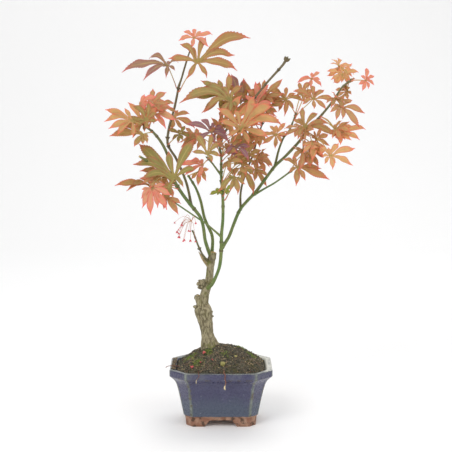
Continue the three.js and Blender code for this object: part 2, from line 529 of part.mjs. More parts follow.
const LEAVES = {
  crown_twig: [
    { at: 1, hub: [-5, 7, 98], lean: [0.5, 0.1], color: PINK,
      lobes: [[-168, 5], [-35, 5.5], [15, 6], [90, 3], [150, 4]] },
  ],
  crown_branch: [
    { at: 0.96, hub: [-4, 4, 90.5], lean: [0.5, 0.2], color: BRONZE,
      lobes: [[-55, 6], [-10, 13], [8, 12], [27, 19], [70, 8], [135, 8], [175, 9]] },
    { at: 0.98, hub: [-13.5, 10, 89.5], lean: [0.9, -0.1], arch: 0.16, color: PURPLE,
      lobes: [[-172, 15], [-148, 9], [-95, 4], [20, 3.5], [160, 7]] },
    { at: 0.6, hub: [-12, 12.5, 73], lean: [0.3, 0.3], color: BRONZE,
      lobes: [[-55, 5], [-25, 8], [15, 5.5]] },
    { at: 0.5, hub: [-9.5, 3, 68], lean: [0.4, -0.2], color: OLIVE,
      lobes: [[-100, 3], [-20, 4], [55, 3], [160, 4]] },
  ],
  left_branch: [
    { at: 0.92, hub: [-17, -7, 74.5], lean: [0.4, -0.3], color: PINK,
      lobes: [[-120, 4.5], [-48, 6], [-18, 7.5], [20, 6], [75, 3], [165, 4]] },
    { at: 0.97, hub: [-20.5, -14, 77.5], lean: [0.3, 0.1], color: PINK,
      lobes: [[-45, 2.5], [-10, 4.5], [20, 5.5]] },
    { at: 0.98, hub: [-22.5, -17, 72.5], lean: [0.5, 0.3], color: ORANGE,
      lobes: [[-160, 7], [-135, 6], [158, 8.5], [182, 8]] },
    { at: 0.88, hub: [-19.5, -15.5, 68.5], lean: [0.6, 0.4], color: OLIVE,
      lobes: [[-177, 9.5], [-125, 4.5], [-60, 3]] },
    { at: 0.51, hub: [-10.5, -15.5, 55.5], lean: [0.5, 0.1], color: OLIVE,
      lobes: [[-40, 4], [22, 7.5], [62, 13], [138, 15], [162, 13], [182, 10]] },
    { at: 0.49, hub: [-17, -10, 52.5], lean: [1, 0.3], arch: 0.12, color: BRONZE,
      lobes: [[-172, 8], [178, 11.5], [150, 5]] },
    { at: 0.47, hub: [-16.5, -21, 53], lean: [0.3, -0.1], color: PINK,
      lobes: [[-137, 4.5], [-115, 6.5], [-94, 8], [-72, 6], [-52, 7.5], [-22, 6]] },
  ],
  low_green_twig: [
    { at: 1, hub: [-13, -17, 50], lean: [0.6, 0.2], color: BRONZE,
      lobes: [[-52, 6.5], [-95, 3.5], [25, 3]] },
  ],
  middle_branch: [
    { at: 1, hub: [-4, 12.5, 55.5], lean: [0.4, 0.2], color: ORANGE,
      lobes: [[-90, 4.5], [-50, 4], [10, 3.5]] },
  ],
  centre_branch: [
    { at: 0.9, hub: [0.5, -5, 69], lean: [0.5, 0.1], color: PURPLE,
      lobes: [[-30, 6.5], [-5, 5], [25, 4], [70, 3], [132, 5], [163, 8]] },
    { at: 0.93, hub: [-2.5, 9, 66.5], lean: [0.7, -0.2], color: BRONZE,
      lobes: [[-158, 7.5], [172, 5], [-115, 4]] },
    { at: 0.95, hub: [9.5, -8.5, 70], lean: [0.4, 0.2], color: ORANGE,
      lobes: [[-17, 9], [6, 13.5], [36, 12.5], [68, 11], [140, 9.5], [162, 7]] },
    { at: 0.98, hub: [6.5, -3, 78.5], lean: [0.6, -0.2], arch: 0.14, color: OLIVE,
      lobes: [[-176, 16], [-155, 9], [-95, 4.5], [130, 5], [158, 10]] },
    { at: 0.86, hub: [8, -7.5, 64.5], lean: [0.4, 0.1], color: PURPLE,
      lobes: [[-145, 4], [-45, 6], [-90, 4], [60, 2.5]] },
    { at: 0.68, hub: [7.5, -10, 55.5], lean: [0.3, 0.2], color: OLIVE,
      lobes: [[-135, 6.5], [-75, 5.5], [-105, 4.5], [130, 3.5]] },
    { at: 0.66, hub: [10.5, 1.5, 57], lean: [0.3, 0.3], color: OLIVE,
      lobes: [[-95, 4], [-65, 8.5], [-30, 4], [100, 2]] },
    { at: 0.82, hub: [9.5, 3, 61], lean: [0.4, -0.2], color: OLIVE,
      lobes: [[-120, 4], [-148, 5.5], [170, 4.5]] },
  ],
  centre_side_twig: [
    { at: 1, hub: [-0.5, -12.5, 62.5], lean: [0.4, -0.1], color: OLIVE,
      lobes: [[-10, 4], [40, 5], [78, 6], [122, 7]] },
    { at: 0.9, hub: [-2, -7.5, 59], lean: [0.7, -0.3], color: PINK,
      lobes: [[-177, 7], [-150, 6.5], [160, 4]] },
  ],
  upright_twig: [
    { at: 1, hub: [18, 17, 74], lean: [0.2, 0.3], color: PINK,
      lobes: [[-170, 4], [-40, 3], [85, 3]] },
    { at: 0.95, hub: [14.5, 11, 77], lean: [0.3, 0.2], color: PINK,
      lobes: [[58, 8], [90, 7.5]] },
    { at: 0.9, hub: [9.5, 15.5, 77.5], lean: [0.2, -0.1], color: PURPLE,
      lobes: [[80, 8], [108, 10]] },
    { at: 0.52, hub: [10, 15.5, 62.5], lean: [0.3, -0.2], color: OLIVE,
      lobes: [[-74, 6.5], [-112, 4], [-44, 3.5]] },
    { at: 0.46, hub: [14.5, 11, 56.5], lean: [0.4, 0.2], color: BRONZE,
      lobes: [[-58, 7], [-30, 5], [-95, 4]] },
  ],
  right_branch: [
    { at: 0.64, hub: [29, -4, 70.5], lean: [0.4, 0.1], color: BRONZE,
      lobes: [[-118, 4.5], [-17, 10.5], [8, 7.5], [44, 6], [95, 6], [150, 4]] },
    { at: 0.57, hub: [28.5, -5.5, 63.5], lean: [0.4, 0.2], color: BRONZE,
      lobes: [[-98, 6.5], [-46, 7.5], [-18, 7], [5, 7.5], [30, 5]] },
    { at: 0.62, hub: [36, -13.5, 62], lean: [0.6, 0.2], color: ORANGE,
      lobes: [[-78, 4], [-25, 7.5], [12, 8], [50, 4.5], [140, 4]] },
    { at: 0.72, hub: [40, -4, 68.5], lean: [0.7, 0.2], color: ORANGE,
      lobes: [[-90, 3.5], [-18, 6.5], [10, 8.5], [75, 3]] },
    { at: 0.8, hub: [40, -7, 76.5], lean: [0.4, 0.2], color: BRONZE,
      lobes: [[-155, 4], [-115, 4.5], [-50, 8.5], [-17, 7.5], [30, 4]] },
    { at: 0.97, hub: [41.5, 5.5, 86.5], lean: [0.6, 0.1], color: ORANGE,
      lobes: [[-155, 4], [-40, 3], [10, 5.5], [90, 3], [168, 5]] },
    { at: 1, hub: [48, -1.5, 84.5], lean: [0.4, 0.2], color: PINK,
      lobes: [[-110, 3.5], [-30, 3], [25, 3], [85, 4]] },
  ],
  small_right_twig: [
    { at: 1, hub: [27, -4, 58], lean: [0.7, 0.1], color: BRONZE,
      lobes: [[-95, 5.5], [-22, 10.5], [25, 5], [110, 3.5], [152, 5]] },
  ],
  right_leafy_twig: [
    { at: 0.55, hub: [21, 10, 67.5], lean: [0.4, 0.1], color: ORANGE,
      lobes: [[-176, 5.5], [-145, 5.5], [-95, 4.5], [50, 5], [125, 3.5]] },
    { at: 1, hub: [24.5, 18, 79], lean: [0.5, -0.2], color: BRONZE,
      lobes: [[-176, 9], [-150, 6], [-92, 5.5], [-8, 6], [85, 4], [155, 7]] },
    { at: 0.96, hub: [33, 11, 79], lean: [0.5, 0.2], color: BRONZE,
      lobes: [[-40, 5.5], [-8, 7.5], [35, 4.5], [98, 4.5], [160, 7]] },
    { at: 0.9, hub: [33, 18, 85.5], lean: [0.6, 0], color: PINK,
      lobes: [[-165, 5], [-35, 4], [40, 3.5]] },
  ],
};

const USUAL_ARCH = 0.07;

function makeLeaves() {
  for (const [twig, leaves] of Object.entries(LEAVES)) {
    leaves.forEach(({ at, hub, lean, lobes, color, arch = USUAL_ARCH }, i) => {
      const middle = inTree(hub);
      const start = rods[twig].shoulder(at, middle, STALK_RADIUS);
      const blade = leafGeometry(middle, lean, arch, lobes, start);
      addPiece(`${twig}_leaf_${i + 1}`, blade, color, 0.55);
    });
  }
}

// The hanging seed cluster on the bare twig: thin stalks that spread from one point.
const FLOWER = { at: 1, hub: [-6.5, -10.5, 41], lean: [0.1, 0.4], arch: 0.02,
  lobes: [[-165, 5], [-142, 6], [-120, 4], [-100, 5.5], [130, 2]] };

function makeFlower() {
  const hub = inTree(FLOWER.hub);
  const start = rods.bare_left_twig.shoulder(FLOWER.at, hub, STALK_RADIUS);
  const cluster = leafGeometry(hub, FLOWER.lean, FLOWER.arch, FLOWER.lobes, start);
  addPiece('flower_cluster', cluster, PINK, 0.6);
}

makePot();
makeScreen();
makeWood();
makeSoil();
makeLeaves();
makeFlower();

// The origin is on the ground, under the middle of the whole plant.
const reach = new THREE.Box3().setFromObject(tree);
const middle = reach.getCenter(new THREE.Vector3());
tree.position.set(-middle.x, -middle.y, -reach.min.z);

export default tree;
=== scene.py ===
"""A Japanese maple bonsai in a glazed pot with cut corners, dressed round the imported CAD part."""

import json
import math
import random
from itertools import combinations

import bmesh
import bpy
import numpy as np
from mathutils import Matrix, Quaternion, Vector, noise
from mathutils.bvhtree import BVHTree


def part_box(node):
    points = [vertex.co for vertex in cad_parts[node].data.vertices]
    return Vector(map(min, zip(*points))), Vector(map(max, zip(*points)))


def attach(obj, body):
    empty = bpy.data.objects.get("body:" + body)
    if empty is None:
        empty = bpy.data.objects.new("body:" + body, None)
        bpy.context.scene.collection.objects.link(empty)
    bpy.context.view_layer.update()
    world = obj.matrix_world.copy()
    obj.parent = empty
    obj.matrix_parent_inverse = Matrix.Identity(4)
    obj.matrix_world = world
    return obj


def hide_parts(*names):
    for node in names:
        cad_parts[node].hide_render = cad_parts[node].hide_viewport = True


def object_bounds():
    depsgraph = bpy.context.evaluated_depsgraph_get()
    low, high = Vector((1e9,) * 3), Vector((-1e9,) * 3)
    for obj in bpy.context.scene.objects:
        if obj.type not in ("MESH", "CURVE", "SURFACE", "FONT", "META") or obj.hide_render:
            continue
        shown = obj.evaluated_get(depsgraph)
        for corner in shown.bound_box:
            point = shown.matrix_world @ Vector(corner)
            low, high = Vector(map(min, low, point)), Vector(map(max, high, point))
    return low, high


MM = 0.001
UP = Vector((0, 0, 1))
SAME_PLACE = 2e-6

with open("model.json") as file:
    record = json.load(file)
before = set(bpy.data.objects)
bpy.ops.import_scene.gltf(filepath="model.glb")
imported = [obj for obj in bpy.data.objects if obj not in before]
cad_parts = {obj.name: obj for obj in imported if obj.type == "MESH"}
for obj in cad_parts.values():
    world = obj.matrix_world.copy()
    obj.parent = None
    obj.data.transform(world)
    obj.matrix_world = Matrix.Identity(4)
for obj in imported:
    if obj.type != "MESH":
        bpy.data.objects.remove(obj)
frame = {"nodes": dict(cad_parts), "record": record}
nodes = frame["nodes"]
cad_low, cad_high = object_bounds()

# ---- the pot's and the soil's measures ----

CORNER_CUT = 18 * MM
CORNER_ROUND = 1.6 * MM
INSIDE_ROUND = 3 * MM
RIM_BAND = 7 * MM
RIM_WALL = 6 * MM
FOOT_BAND = 12 * MM
FOOT_HEIGHT = 7.5 * MM
CAVITY_FLOOR = 14.5 * MM
PANEL_DEPTH = 1.0 * MM
PANEL_MARGIN = 2.6 * MM
DRAIN_RADIUS = 7 * MM
ARCH_HALF_FOOT, ARCH_HALF_TOP = 18 * MM, 12 * MM
ARCH_LONG = 80 * MM
SIDE_STEPS = (20, 44, 20, 60)
SOIL_EDGE = 4 * MM
SOIL_INSET = RIM_WALL + 0.9 * MM
SOIL_TAPER = 12.416 * MM

pot_low, pot_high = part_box("pot")
POT_MIDDLE = (pot_low + pot_high) / 2
POT_TOP = pot_high.z
SOIL_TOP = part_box("soil")[1].z
TRUNK_FOOT = Vector((POT_MIDDLE.x - 12 * MM, POT_MIDDLE.y + 9 * MM, POT_TOP))
RIPE_HEIGHT = 250 * MM


# ---- materials ----


def paint(code):
    """A colour written as six hexadecimal digits, as linear RGBA."""
    shares = [int(code[i : i + 2], 16) / 255 for i in (0, 2, 4)]
    return tuple(((s + 0.055) / 1.055) ** 2.4 if s > 0.04045 else s / 12.92 for s in shares) + (1,)


class Finish:
    """A material whose nodes are added one by one; every call gives back the output socket."""

    def __init__(self, name):
        self.material = bpy.data.materials.new(name)
        self.material.use_nodes = True
        self.tree = self.material.node_tree
        self.tree.nodes.clear()
        self.place = self.node("TexCoord").outputs["Object"]

    def node(self, kind, inputs=(), **settings):
        made = self.tree.nodes.new("ShaderNode" + kind)
        for key, value in settings.items():
            setattr(made, key, value)
        for key, value in dict(inputs).items():
            if isinstance(value, bpy.types.NodeSocket):
                self.tree.links.new(value, made.inputs[key])
            else:
                made.inputs[key].default_value = value
        return made

    def attribute(self, name):
        return self.node("Attribute", attribute_name=name).outputs["Fac"]

    def noise(self, size, detail=4, roughness=0.55, stretch=(1, 1, 1)):
        """Cloudy values around a half, with blotches of about the given size."""
        spot = self.node("Mapping", {"Vector": self.place, "Scale": stretch}).outputs["Vector"]
        inputs = {"Vector": spot, "Scale": 1 / size, "Detail": detail, "Roughness": roughness}
        return self.node("TexNoise", inputs).outputs["Fac"]

    def cells(self, size):
        """The distance to the nearest of many scattered dots, as a share of their spacing."""
        return self.node("TexVoronoi", {"Vector": self.place, "Scale": 1 / size}).outputs["Distance"]

    def math(self, operation, a, b=0.0):
        return self.node("Math", {0: a, 1: b}, operation=operation).outputs[0]

    def times(self, a, b):
        return self.math("MULTIPLY", a, b)

    def plus(self, a, b, share=1.0):
        """The sum of a and a share of b."""
        return self.node("Math", {0: b, 1: share, 2: a}, operation="MULTIPLY_ADD").outputs[0]

    def ragged(self, value, cloud, reach):
        """The value, moved up and down by a noise."""
        return self.plus(value, self.math("SUBTRACT", cloud, 0.5), reach)

    def step(self, value, low, high, start=0.0, end=1.0):
        """Goes smoothly from start to end as value goes from low to high."""
        inputs = {"Value": value, "From Min": low, "From Max": high, "To Min": start, "To Max": end}
        return self.node("MapRange", inputs, interpolation_type="SMOOTHSTEP").outputs["Result"]

    def mix(self, share, a, b):
        return self.node("Mix", {0: share, 6: a, 7: b}, data_type="RGBA").outputs[2]

    def tint(self, colour, code, value, *span):
        """Mixes in a second colour by a step of value; span is what step takes after the value."""
        return self.mix(self.step(value, *span), colour, paint(code))

    def bump(self, height, depth, strength=1.0):
        inputs = {"Height": height, "Distance": depth, "Strength": strength}
        return self.node("Bump", inputs).outputs["Normal"]

    def surface(self, colour, roughness, normal=None, others=()):
        inputs = {"Base Color": colour, "Roughness": roughness, **dict(others)}
        if normal:
            inputs["Normal"] = normal
        return self.node("BsdfPrincipled", inputs).outputs["BSDF"]

    def done(self, shader):
        self.node("OutputMaterial", {"Surface": shader})
        return self.material

    def plain(self, *looks):
        """The whole material, when it is one surface."""
        return self.done(self.surface(*looks))


def leaf_finish(name, body, other, margin, tip):
    """A blade that wanders between two colours, redder at edges and tips, with yellow-green veins."""
    f = Finish(name)
    along, side = f.attribute("along"), f.math("ABSOLUTE", f.attribute("across"))
    blotch = f.noise(7 * MM, 3)
    colour = f.tint(paint(body), other, f.plus(blotch, f.attribute("tone"), 0.8), 0.45, 1.15)
    colour = f.tint(colour, margin, f.ragged(side, blotch, 0.9), 0.55, 1.1, 0, 0.85)
    colour = f.tint(colour, tip, along, 0.68, 1.0, 0, 0.85)
    slant = f.plus(f.times(along, 11), side, -1.6)
    ladder = f.math("ABSOLUTE", f.math("SUBTRACT", f.math("FRACT", slant), 0.5))
    side_vein = f.times(f.step(ladder, 0.0, 0.11, 1, 0), f.step(side, 0.1, 0.95, 1, 0))
    midrib = f.times(f.step(side, 0.04, 0.16, 1, 0), f.step(along, 0.3, 1.0, 1, 0.25))
    vein = f.math("MAXIMUM", f.times(side_vein, 0.28), f.times(midrib, 0.75))
    colour = f.mix(vein, colour, paint("dccb88"))
    colour = f.tint(colour, "bdb668", along, 0.0, 0.17, 0.6, 0)
    normal = f.bump(f.plus(f.times(vein, -1.0), f.noise(0.9 * MM, 2), 0.3), 0.25 * MM, 0.6)
    blade = f.surface(colour, f.step(blotch, 0.3, 0.7, 0.42, 0.6), normal, {"Specular IOR Level": 0.35})
    glow = f.node("BsdfTranslucent", {"Color": colour, "Normal": normal}).outputs["BSDF"]
    return f.done(f.node("MixShader", {0: 0.5, 1: blade, 2: glow}).outputs["Shader"])


def stalk_finish():
    f = Finish("leaf_stalk")
    colour = f.tint(paint("a9a24a"), "b4663f", f.noise(14 * MM, 2), 0.35, 0.65)
    colour = f.tint(colour, "9fae45", f.attribute("along"), 0.0, 0.9, 0, 0.6)
    grain = f.noise(0.8 * MM, 2)
    return f.plain(colour, f.step(grain, 0.3, 0.7, 0.4, 0.6), f.bump(grain, 0.1 * MM, 0.4))


def shoot_finish(name, skin, other, knot, streak):
    """Smooth young bark, darker at the nodes, with fine lengthwise streaks and pale breathing pores."""
    f = Finish(name)
    colour = f.tint(paint(skin), other, f.noise(16 * MM, 3), 0.38, 0.62)
    height = f.node("SeparateXYZ", {0: f.place}).outputs["Z"]
    colour = f.tint(colour, "6d5f42", height, RIPE_HEIGHT, RIPE_HEIGHT + 90 * MM, 0, 0.7)
    grain = f.noise(0.7 * MM, 3, stretch=(1, 1, 0.16))
    colour = f.tint(colour, streak, grain, 0.52, 0.72, 0, 0.55)
    pores = f.step(f.cells(2.4 * MM), 0.1, 0.2, 0.6, 0)
    colour = f.mix(pores, colour, paint("b3a67c"))
    dirt = f.ragged(f.attribute("knot"), f.noise(2 * MM), 0.7)
    colour = f.tint(colour, knot, dirt, 0.25, 0.85, 0, 0.9)
    colour = f.mix(f.attribute("cut"), colour, paint("b89a6a"))
    normal = f.bump(f.plus(grain, pores, 0.5), 0.2 * MM, 0.6)
    return f.plain(colour, f.step(grain, 0.35, 0.7, 0.42, 0.7), normal)


def bark_finish():
    f = Finish("trunk_bark")
    ridges = f.noise(1.7 * MM, 5, 0.6, (1, 1, 0.28))
    colour = f.tint(paint("6e654e"), "a1987a", ridges, 0.42, 0.58)
    colour = f.tint(colour, "b5aa8a", f.noise(13 * MM, 3), 0.5, 0.68, 0, 0.5)
    moss = f.times(f.step(f.noise(8 * MM, 4), 0.5, 0.64), f.attribute("green"))
    colour = f.mix(moss, colour, paint("77783f"))
    cracks = f.step(f.noise(1.3 * MM, 4, 0.65, (1, 1, 0.35)), 0.53, 0.64, 0, 0.5)
    colour = f.mix(cracks, colour, paint("41392c"))
    sawn = f.tint(paint("9c7c4c"), "cdb07c", f.noise(0.9 * MM, 2), 0.35, 0.65)
    colour = f.mix(f.attribute("cut"), colour, sawn)
    normal = f.bump(f.plus(ridges, cracks, -0.4), 0.9 * MM, 0.8)
    return f.plain(colour, f.step(ridges, 0.3, 0.7, 0.95, 0.75), normal, {"Specular IOR Level": 0.25})


def pot_finish():
    """Slate-blue glaze, olive where it is thin on ridges, pale on the rim from wear and a painted highlight
    towards the back right, a painted shadow line under the rim band, over bare terracotta.
    """
    f = Finish("glazed_pot")
    wear_and_highlight, cloud, fine = f.attribute("wear_and_highlight"), f.noise(16 * MM, 4), f.noise(2.4 * MM, 4)
    glaze = f.tint(paint("353454"), "41415e", cloud, 0.35, 0.68)
    glaze = f.tint(glaze, "434f5e", f.ragged(f.attribute("height"), cloud, 0.5), 0.18, 0.5, 0.75, 0)
    glaze = f.tint(glaze, "7c86a0", fine, 0.6, 0.75, 0, 0.12)
    edge = f.ragged(f.attribute("thin"), cloud, 0.9)
    glaze = f.tint(glaze, "6d7566", edge, 0.35, 0.85, 0, 0.65)
    glaze = f.tint(glaze, "9da391", edge, 0.75, 1.15, 0, 0.8)
    # Brown stains by the corner ridges, and a painted shadow line just under the rim band.
    stain_and_shade = f.times(f.step(f.noise(5 * MM, 3), 0.52, 0.6, 0, 0.85), f.attribute("stain_and_shade"))
    glaze = f.mix(stain_and_shade, glaze, paint("4a3f22"))
    glaze = f.tint(glaze, "a9b0bb", f.cells(6.5 * MM), 0.03, 0.09, 0.8, 0)
    # Pale rim: partly wear on the inner rim and lip, partly a painted highlight that grows towards the back
    # right.
    glaze = f.tint(glaze, "cdcdc2", f.ragged(wear_and_highlight, f.noise(4 * MM, 5), 1.3), 0.3, 0.85, 0, 0.95)
    grit = f.noise(1.1 * MM, 4)
    clay = f.tint(paint("8a604c"), "ab8872", f.noise(7 * MM, 3), 0.35, 0.65)
    clay = f.tint(clay, "6b4535", grit, 0.55, 0.75, 0, 0.6)
    clay = f.tint(clay, "3f3126", f.noise(5 * MM, 4), 0.5, 0.62, 0, 0.8)
    glazed = f.step(f.ragged(f.attribute("glaze"), f.noise(5 * MM, 2), 1.2), 0.4, 0.6)
    gloss = f.plus(f.step(fine, 0.3, 0.7, 0.2, 0.38), wear_and_highlight, 0.3)
    rough = f.mix(glazed, (0.88, 0.88, 0.88, 1), gloss)
    relief = f.plus(f.times(cloud, 1.6), f.times(grit, f.step(glazed, 0, 1, 0.8, 0.02)))
    coat = {"Coat Weight": f.step(glazed, 0, 1, 0, 0.35), "Coat Roughness": 0.15}
    return f.plain(f.mix(glazed, clay, glaze), rough, f.bump(relief, 0.5 * MM, 0.7), coat)


def soil_finish():
    f = Finish("soil_crumb")
    crumb = f.noise(1.6 * MM, 5, 0.65)
    colour = f.tint(paint("2e2c26"), "696859", crumb, 0.35, 0.65)
    colour = f.tint(colour, "4b4a27", f.noise(11 * MM, 3), 0.48, 0.62, 0, 0.6)
    colour = f.tint(colour, "64503e", f.noise(3 * MM, 3), 0.58, 0.66, 0, 0.45)
    colour = f.tint(colour, "a38d62", f.cells(2.6 * MM), 0.08, 0.16, 0.75, 0)
    normal = f.bump(crumb, 1.2 * MM, 1.0)
    return f.plain(colour, f.step(crumb, 0.3, 0.7, 1.0, 0.8), normal, {"Specular IOR Level": 0.2})


def grain_finish(name, dark, light, rough=0.8, size=1.2):
    """A plain tinted finish with a fine grain, for grit, moss, roots, petals and the screen."""
    f = Finish(name)
    grain = f.noise(size * MM, 3)
    share = f.plus(f.times(grain, 0.5), f.attribute("tone"), 0.75)
    colour = f.tint(paint(dark), light, share, 0.2, 1.0)
    return f.plain(colour, f.step(grain, 0.3, 0.7, rough, rough * 0.8), f.bump(grain, 0.2 * MM, 0.6))


LEAF_COLOURS = {
    "leaf_olive": ("b5aa68", "cfae74", "d88e6c", "ec7c70"),
    "fresh_leaf": ("a9b84e", "b8bf62", "b0a858", "b89058"),
    "leaf_bronze": ("c8a66e", "dcb384", "e68a6c", "f27c70"),
    "leaf_orange": ("deb880", "f0c894", "f89476", "fb8678"),
    "leaf_pink": ("e8c09a", "f4b096", "fb9284", "fc8286"),
    "leaf_purple": ("c09a80", "b28690", "d0827e", "e88484"),
}
LEAF_FINISHES = {name: leaf_finish(name, *colours) for name, colours in LEAF_COLOURS.items()}
STALK = stalk_finish()
SHOOT_FINISHES = {
    "green_bark": shoot_finish("green_shoot", "5a7236", "707c42", "4f4028", "455a2c"),
    "grey_bark": shoot_finish("dark_shoot", "5c5038", "6d6a3c", "3a2d22", "443c2a"),
}
BARK = bark_finish()
BUD = grain_finish("bud_scales", "5a3a2a", "a07a52", 0.5, 0.6)


# ---- mesh helpers ----


class Sheet:
    """A growing mesh whose corners carry named numbers for the materials."""

    def __init__(self, *names):
        self.bm = bmesh.new()
        self.layers = {name: self.bm.verts.layers.float.new(name) for name in names}

    def corner(self, place, **values):
        made = self.bm.verts.new(place)
        for name, value in values.items():
            made[self.layers[name]] = value
        return made

    def face(self, corners, material=0):
        different = list(dict.fromkeys(corners))
        if len(different) > 2:
            made = self.bm.faces.new(different)
            made.material_index = material
            made.smooth = True

    def fan(self, ring, middle, material=0):
        for a, b in zip(ring, ring[1:] + ring[:1]):
            self.face([a, b, middle], material)

    def skin(self, rings, closed=True, material=0):
        """Joins rows of corners that all have the same number of corners."""
        count = len(rings[0])
        for ring, following in zip(rings, rings[1:]):
            for i in range(count if closed else count - 1):
                j = (i + 1) % count
                self.face([ring[i], ring[j], following[j], following[i]], material)

    def tube(self, points, radii, sides=8, material=0, shape=lambda share, angle: 1,
             values=lambda share: {}, round_end=True):
        """A closed tube. shape(share, angle) changes the radius, values(share) gives the numbers."""
        rings = []
        tangents = directions(points)
        across = tangents[0].orthogonal().normalized()
        for i, (point, radius) in enumerate(zip(points, radii)):
            across = (across - tangents[i] * across.dot(tangents[i])).normalized()
            over = tangents[i].cross(across)
            share = i / (len(points) - 1)
            ring = []
            for side in range(sides):
                angle = 2 * math.pi * side / sides
                reach = radius * shape(share, angle)
                spot = point + across * math.cos(angle) * reach + over * math.sin(angle) * reach
                ring.append(self.corner(spot, **values(share)))
            rings.append(ring)
        self.skin(rings, material=material)
        for end, flip in ((0, -1), (-1, 1)):
            bulge = tangents[end] * flip * radii[end] * (0.5 if round_end else 0)
            middle = self.corner(points[end] + bulge, **values(-end))
            self.fan(rings[end][::flip], middle, material)

    def outward(self):
        bmesh.ops.recalc_face_normals(self.bm, faces=self.bm.faces)

    def mesh(self, name):
        made = bpy.data.meshes.new(name)
        self.bm.to_mesh(made)
        self.bm.free()
        return made

    def finish(self, name, materials, replaced=(), slot=None):
        return place(name, self.mesh(name), materials, replaced, slot)


def add_object(name, data):
    made = bpy.data.objects.new(name, data)
    bpy.context.scene.collection.objects.link(made)
    return made


def place(name, mesh, materials, replaced=(), slot=None):
    made = add_object(name, mesh)
    mesh.materials.clear()
    for material in materials:
        mesh.materials.append(material)
    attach(made, "root")
    if replaced:
        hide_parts(*replaced)
    return made


def modified_mesh(made):
    """The mesh as an object's modifiers leave it."""
    bpy.context.view_layer.update()
    return bpy.data.meshes.new_from_object(made.evaluated_get(bpy.context.evaluated_depsgraph_get()))


def write_values(mesh, name, values):
    mesh.attributes.new(name, "FLOAT", "POINT").data.foreach_set("value", np.array(values, np.float32))


def directions(points):
    ahead = [(b - a).normalized() for a, b in zip(points, points[1:])]
    return [ahead[0], *((a + b).normalized() for a, b in zip(ahead, ahead[1:])), ahead[-1]]


def smooth_step(value, low, high):
    share = min(max((value - low) / (high - low), 0), 1)
    return share * share * (3 - 2 * share)


def hump(distance, reach):
    """One at no distance, falling off like a bell."""
    return math.exp(-((distance / reach) ** 2))


def along_curve(keys, values, at):
    """A smooth curve through values at the given keys; values are numbers or vectors."""
    i = min(max(sum(key <= at for key in keys) - 1, 0), len(keys) - 2)

    def slope(k):
        low, high = max(k - 1, 0), min(k + 1, len(keys) - 1)
        return (values[high] - values[low]) / (keys[high] - keys[low])

    span = keys[i + 1] - keys[i]
    t = (at - keys[i]) / span
    start, end = slope(i) * span, slope(i + 1) * span
    swing = values[i] * (2 * t**3 - 3 * t**2 + 1) + values[i + 1] * (3 * t**2 - 2 * t**3)
    return swing + start * (t**3 - 2 * t**2 + t) + end * (t**3 - t**2)


def lengths(points):
    run = [0.0]
    for a, b in zip(points, points[1:]):
        run.append(run[-1] + (b - a).length)
    return run


def evenly(spacing, points, *values):
    """Even stops along the curve through points, the places there, and the values there."""
    run = lengths(points)
    count = max(int(run[-1] / spacing), 3)
    stops = [run[-1] * i / count for i in range(count + 1)]
    return stops, *([along_curve(run, row, s) for s in stops] for row in (points, *values))


def turned(way, axis, angle):
    made = way.copy()
    made.rotate(Quaternion(axis, angle))
    return made


def cad_mesh(name):
    bm = bmesh.new()
    bm.from_mesh(nodes[name].data)
    bmesh.ops.remove_doubles(bm, verts=bm.verts, dist=SAME_PLACE)
    bm.verts.index_update()
    return bm


def neighbours(bm):
    return {v: {e.other_vert(v) for e in v.link_edges} for v in bm.verts}


SLOT_OF = {p["node"]: p.get("material_slot") for p in frame["record"].get("subparts", []) if "node" in p}
LEAVES = sorted(n for n in nodes if "_leaf_" in n)
SHOOTS = sorted(n for n in nodes if n.endswith(("_branch", "_twig")))
WOOD = {name: BVHTree.FromBMesh(cad_mesh(name)) for name in [*SHOOTS, "trunk"]}


def nearest_wood(point, but=None):
    """The wood that a piece grows on: its name, the nearest place on it and the way out of it."""
    found = {name: tree.find_nearest(point) for name, tree in WOOD.items() if name != but}
    name = min(found, key=lambda n: found[n][3])
    return name, found[name][0], found[name][1]


# ---- shoots ----

SHOOT_SIDES = 14
SHOOT_STEP = 1.1 * MM
NODE_SPACING = 21 * MM
FREE_END = {"cut_twig": "cut", "bare_top_twig": "buds"}


def read_rod(name):
    """The middles and radii of the six-sided rings of a CAD twig, from its lower end up."""
    bm = cad_mesh(name)
    around = neighbours(bm)
    ends = [
        v for v in bm.verts
        if len(v.link_faces) == 6 and all(f.normal.dot(v.link_faces[0].normal) > 0.999 for f in v.link_faces)
    ]
    start = min(ends, key=lambda v: v.co.z)
    ring, seen = around[start], {start}
    middles, radii = [], []
    while len(ring) == 6:
        middle = sum((v.co for v in ring), Vector()) / 6
        middles.append(middle)
        radii.append(sum((v.co - middle).length for v in ring) / 6)
        seen |= ring
        ring = set().union(*(around[v] for v in ring)) - seen
    bm.free()
    return middles, radii


def bud(sheet, at, way, size, tone):
    """A pointed bud of overlapping scales."""
    points = [at + way * size * s for s in (-0.2, 0.15, 0.45, 0.8, 1.15)]
    radii = [size * r for r in (0.2, 0.36, 0.38, 0.24, 0.04)]
    sheet.tube(points, radii, 7, material=1, values=lambda share: {"tone": tone + 0.3 * share})


def shoot_joints(rng, grown, total):
    """Where a shoot has its nodes: where something grows from it, and more of them in between."""
    joints = list(grown)
    at = joints[0] if joints else rng.uniform(0.4, 0.8) * NODE_SPACING
    while at < total - NODE_SPACING * 0.4:
        if all(abs(at - other) > NODE_SPACING * 0.45 for other in joints):
            joints.append(at)
        at += NODE_SPACING * rng.uniform(0.8, 1.2)
    return [j for j in joints if 3 * MM < j < total]


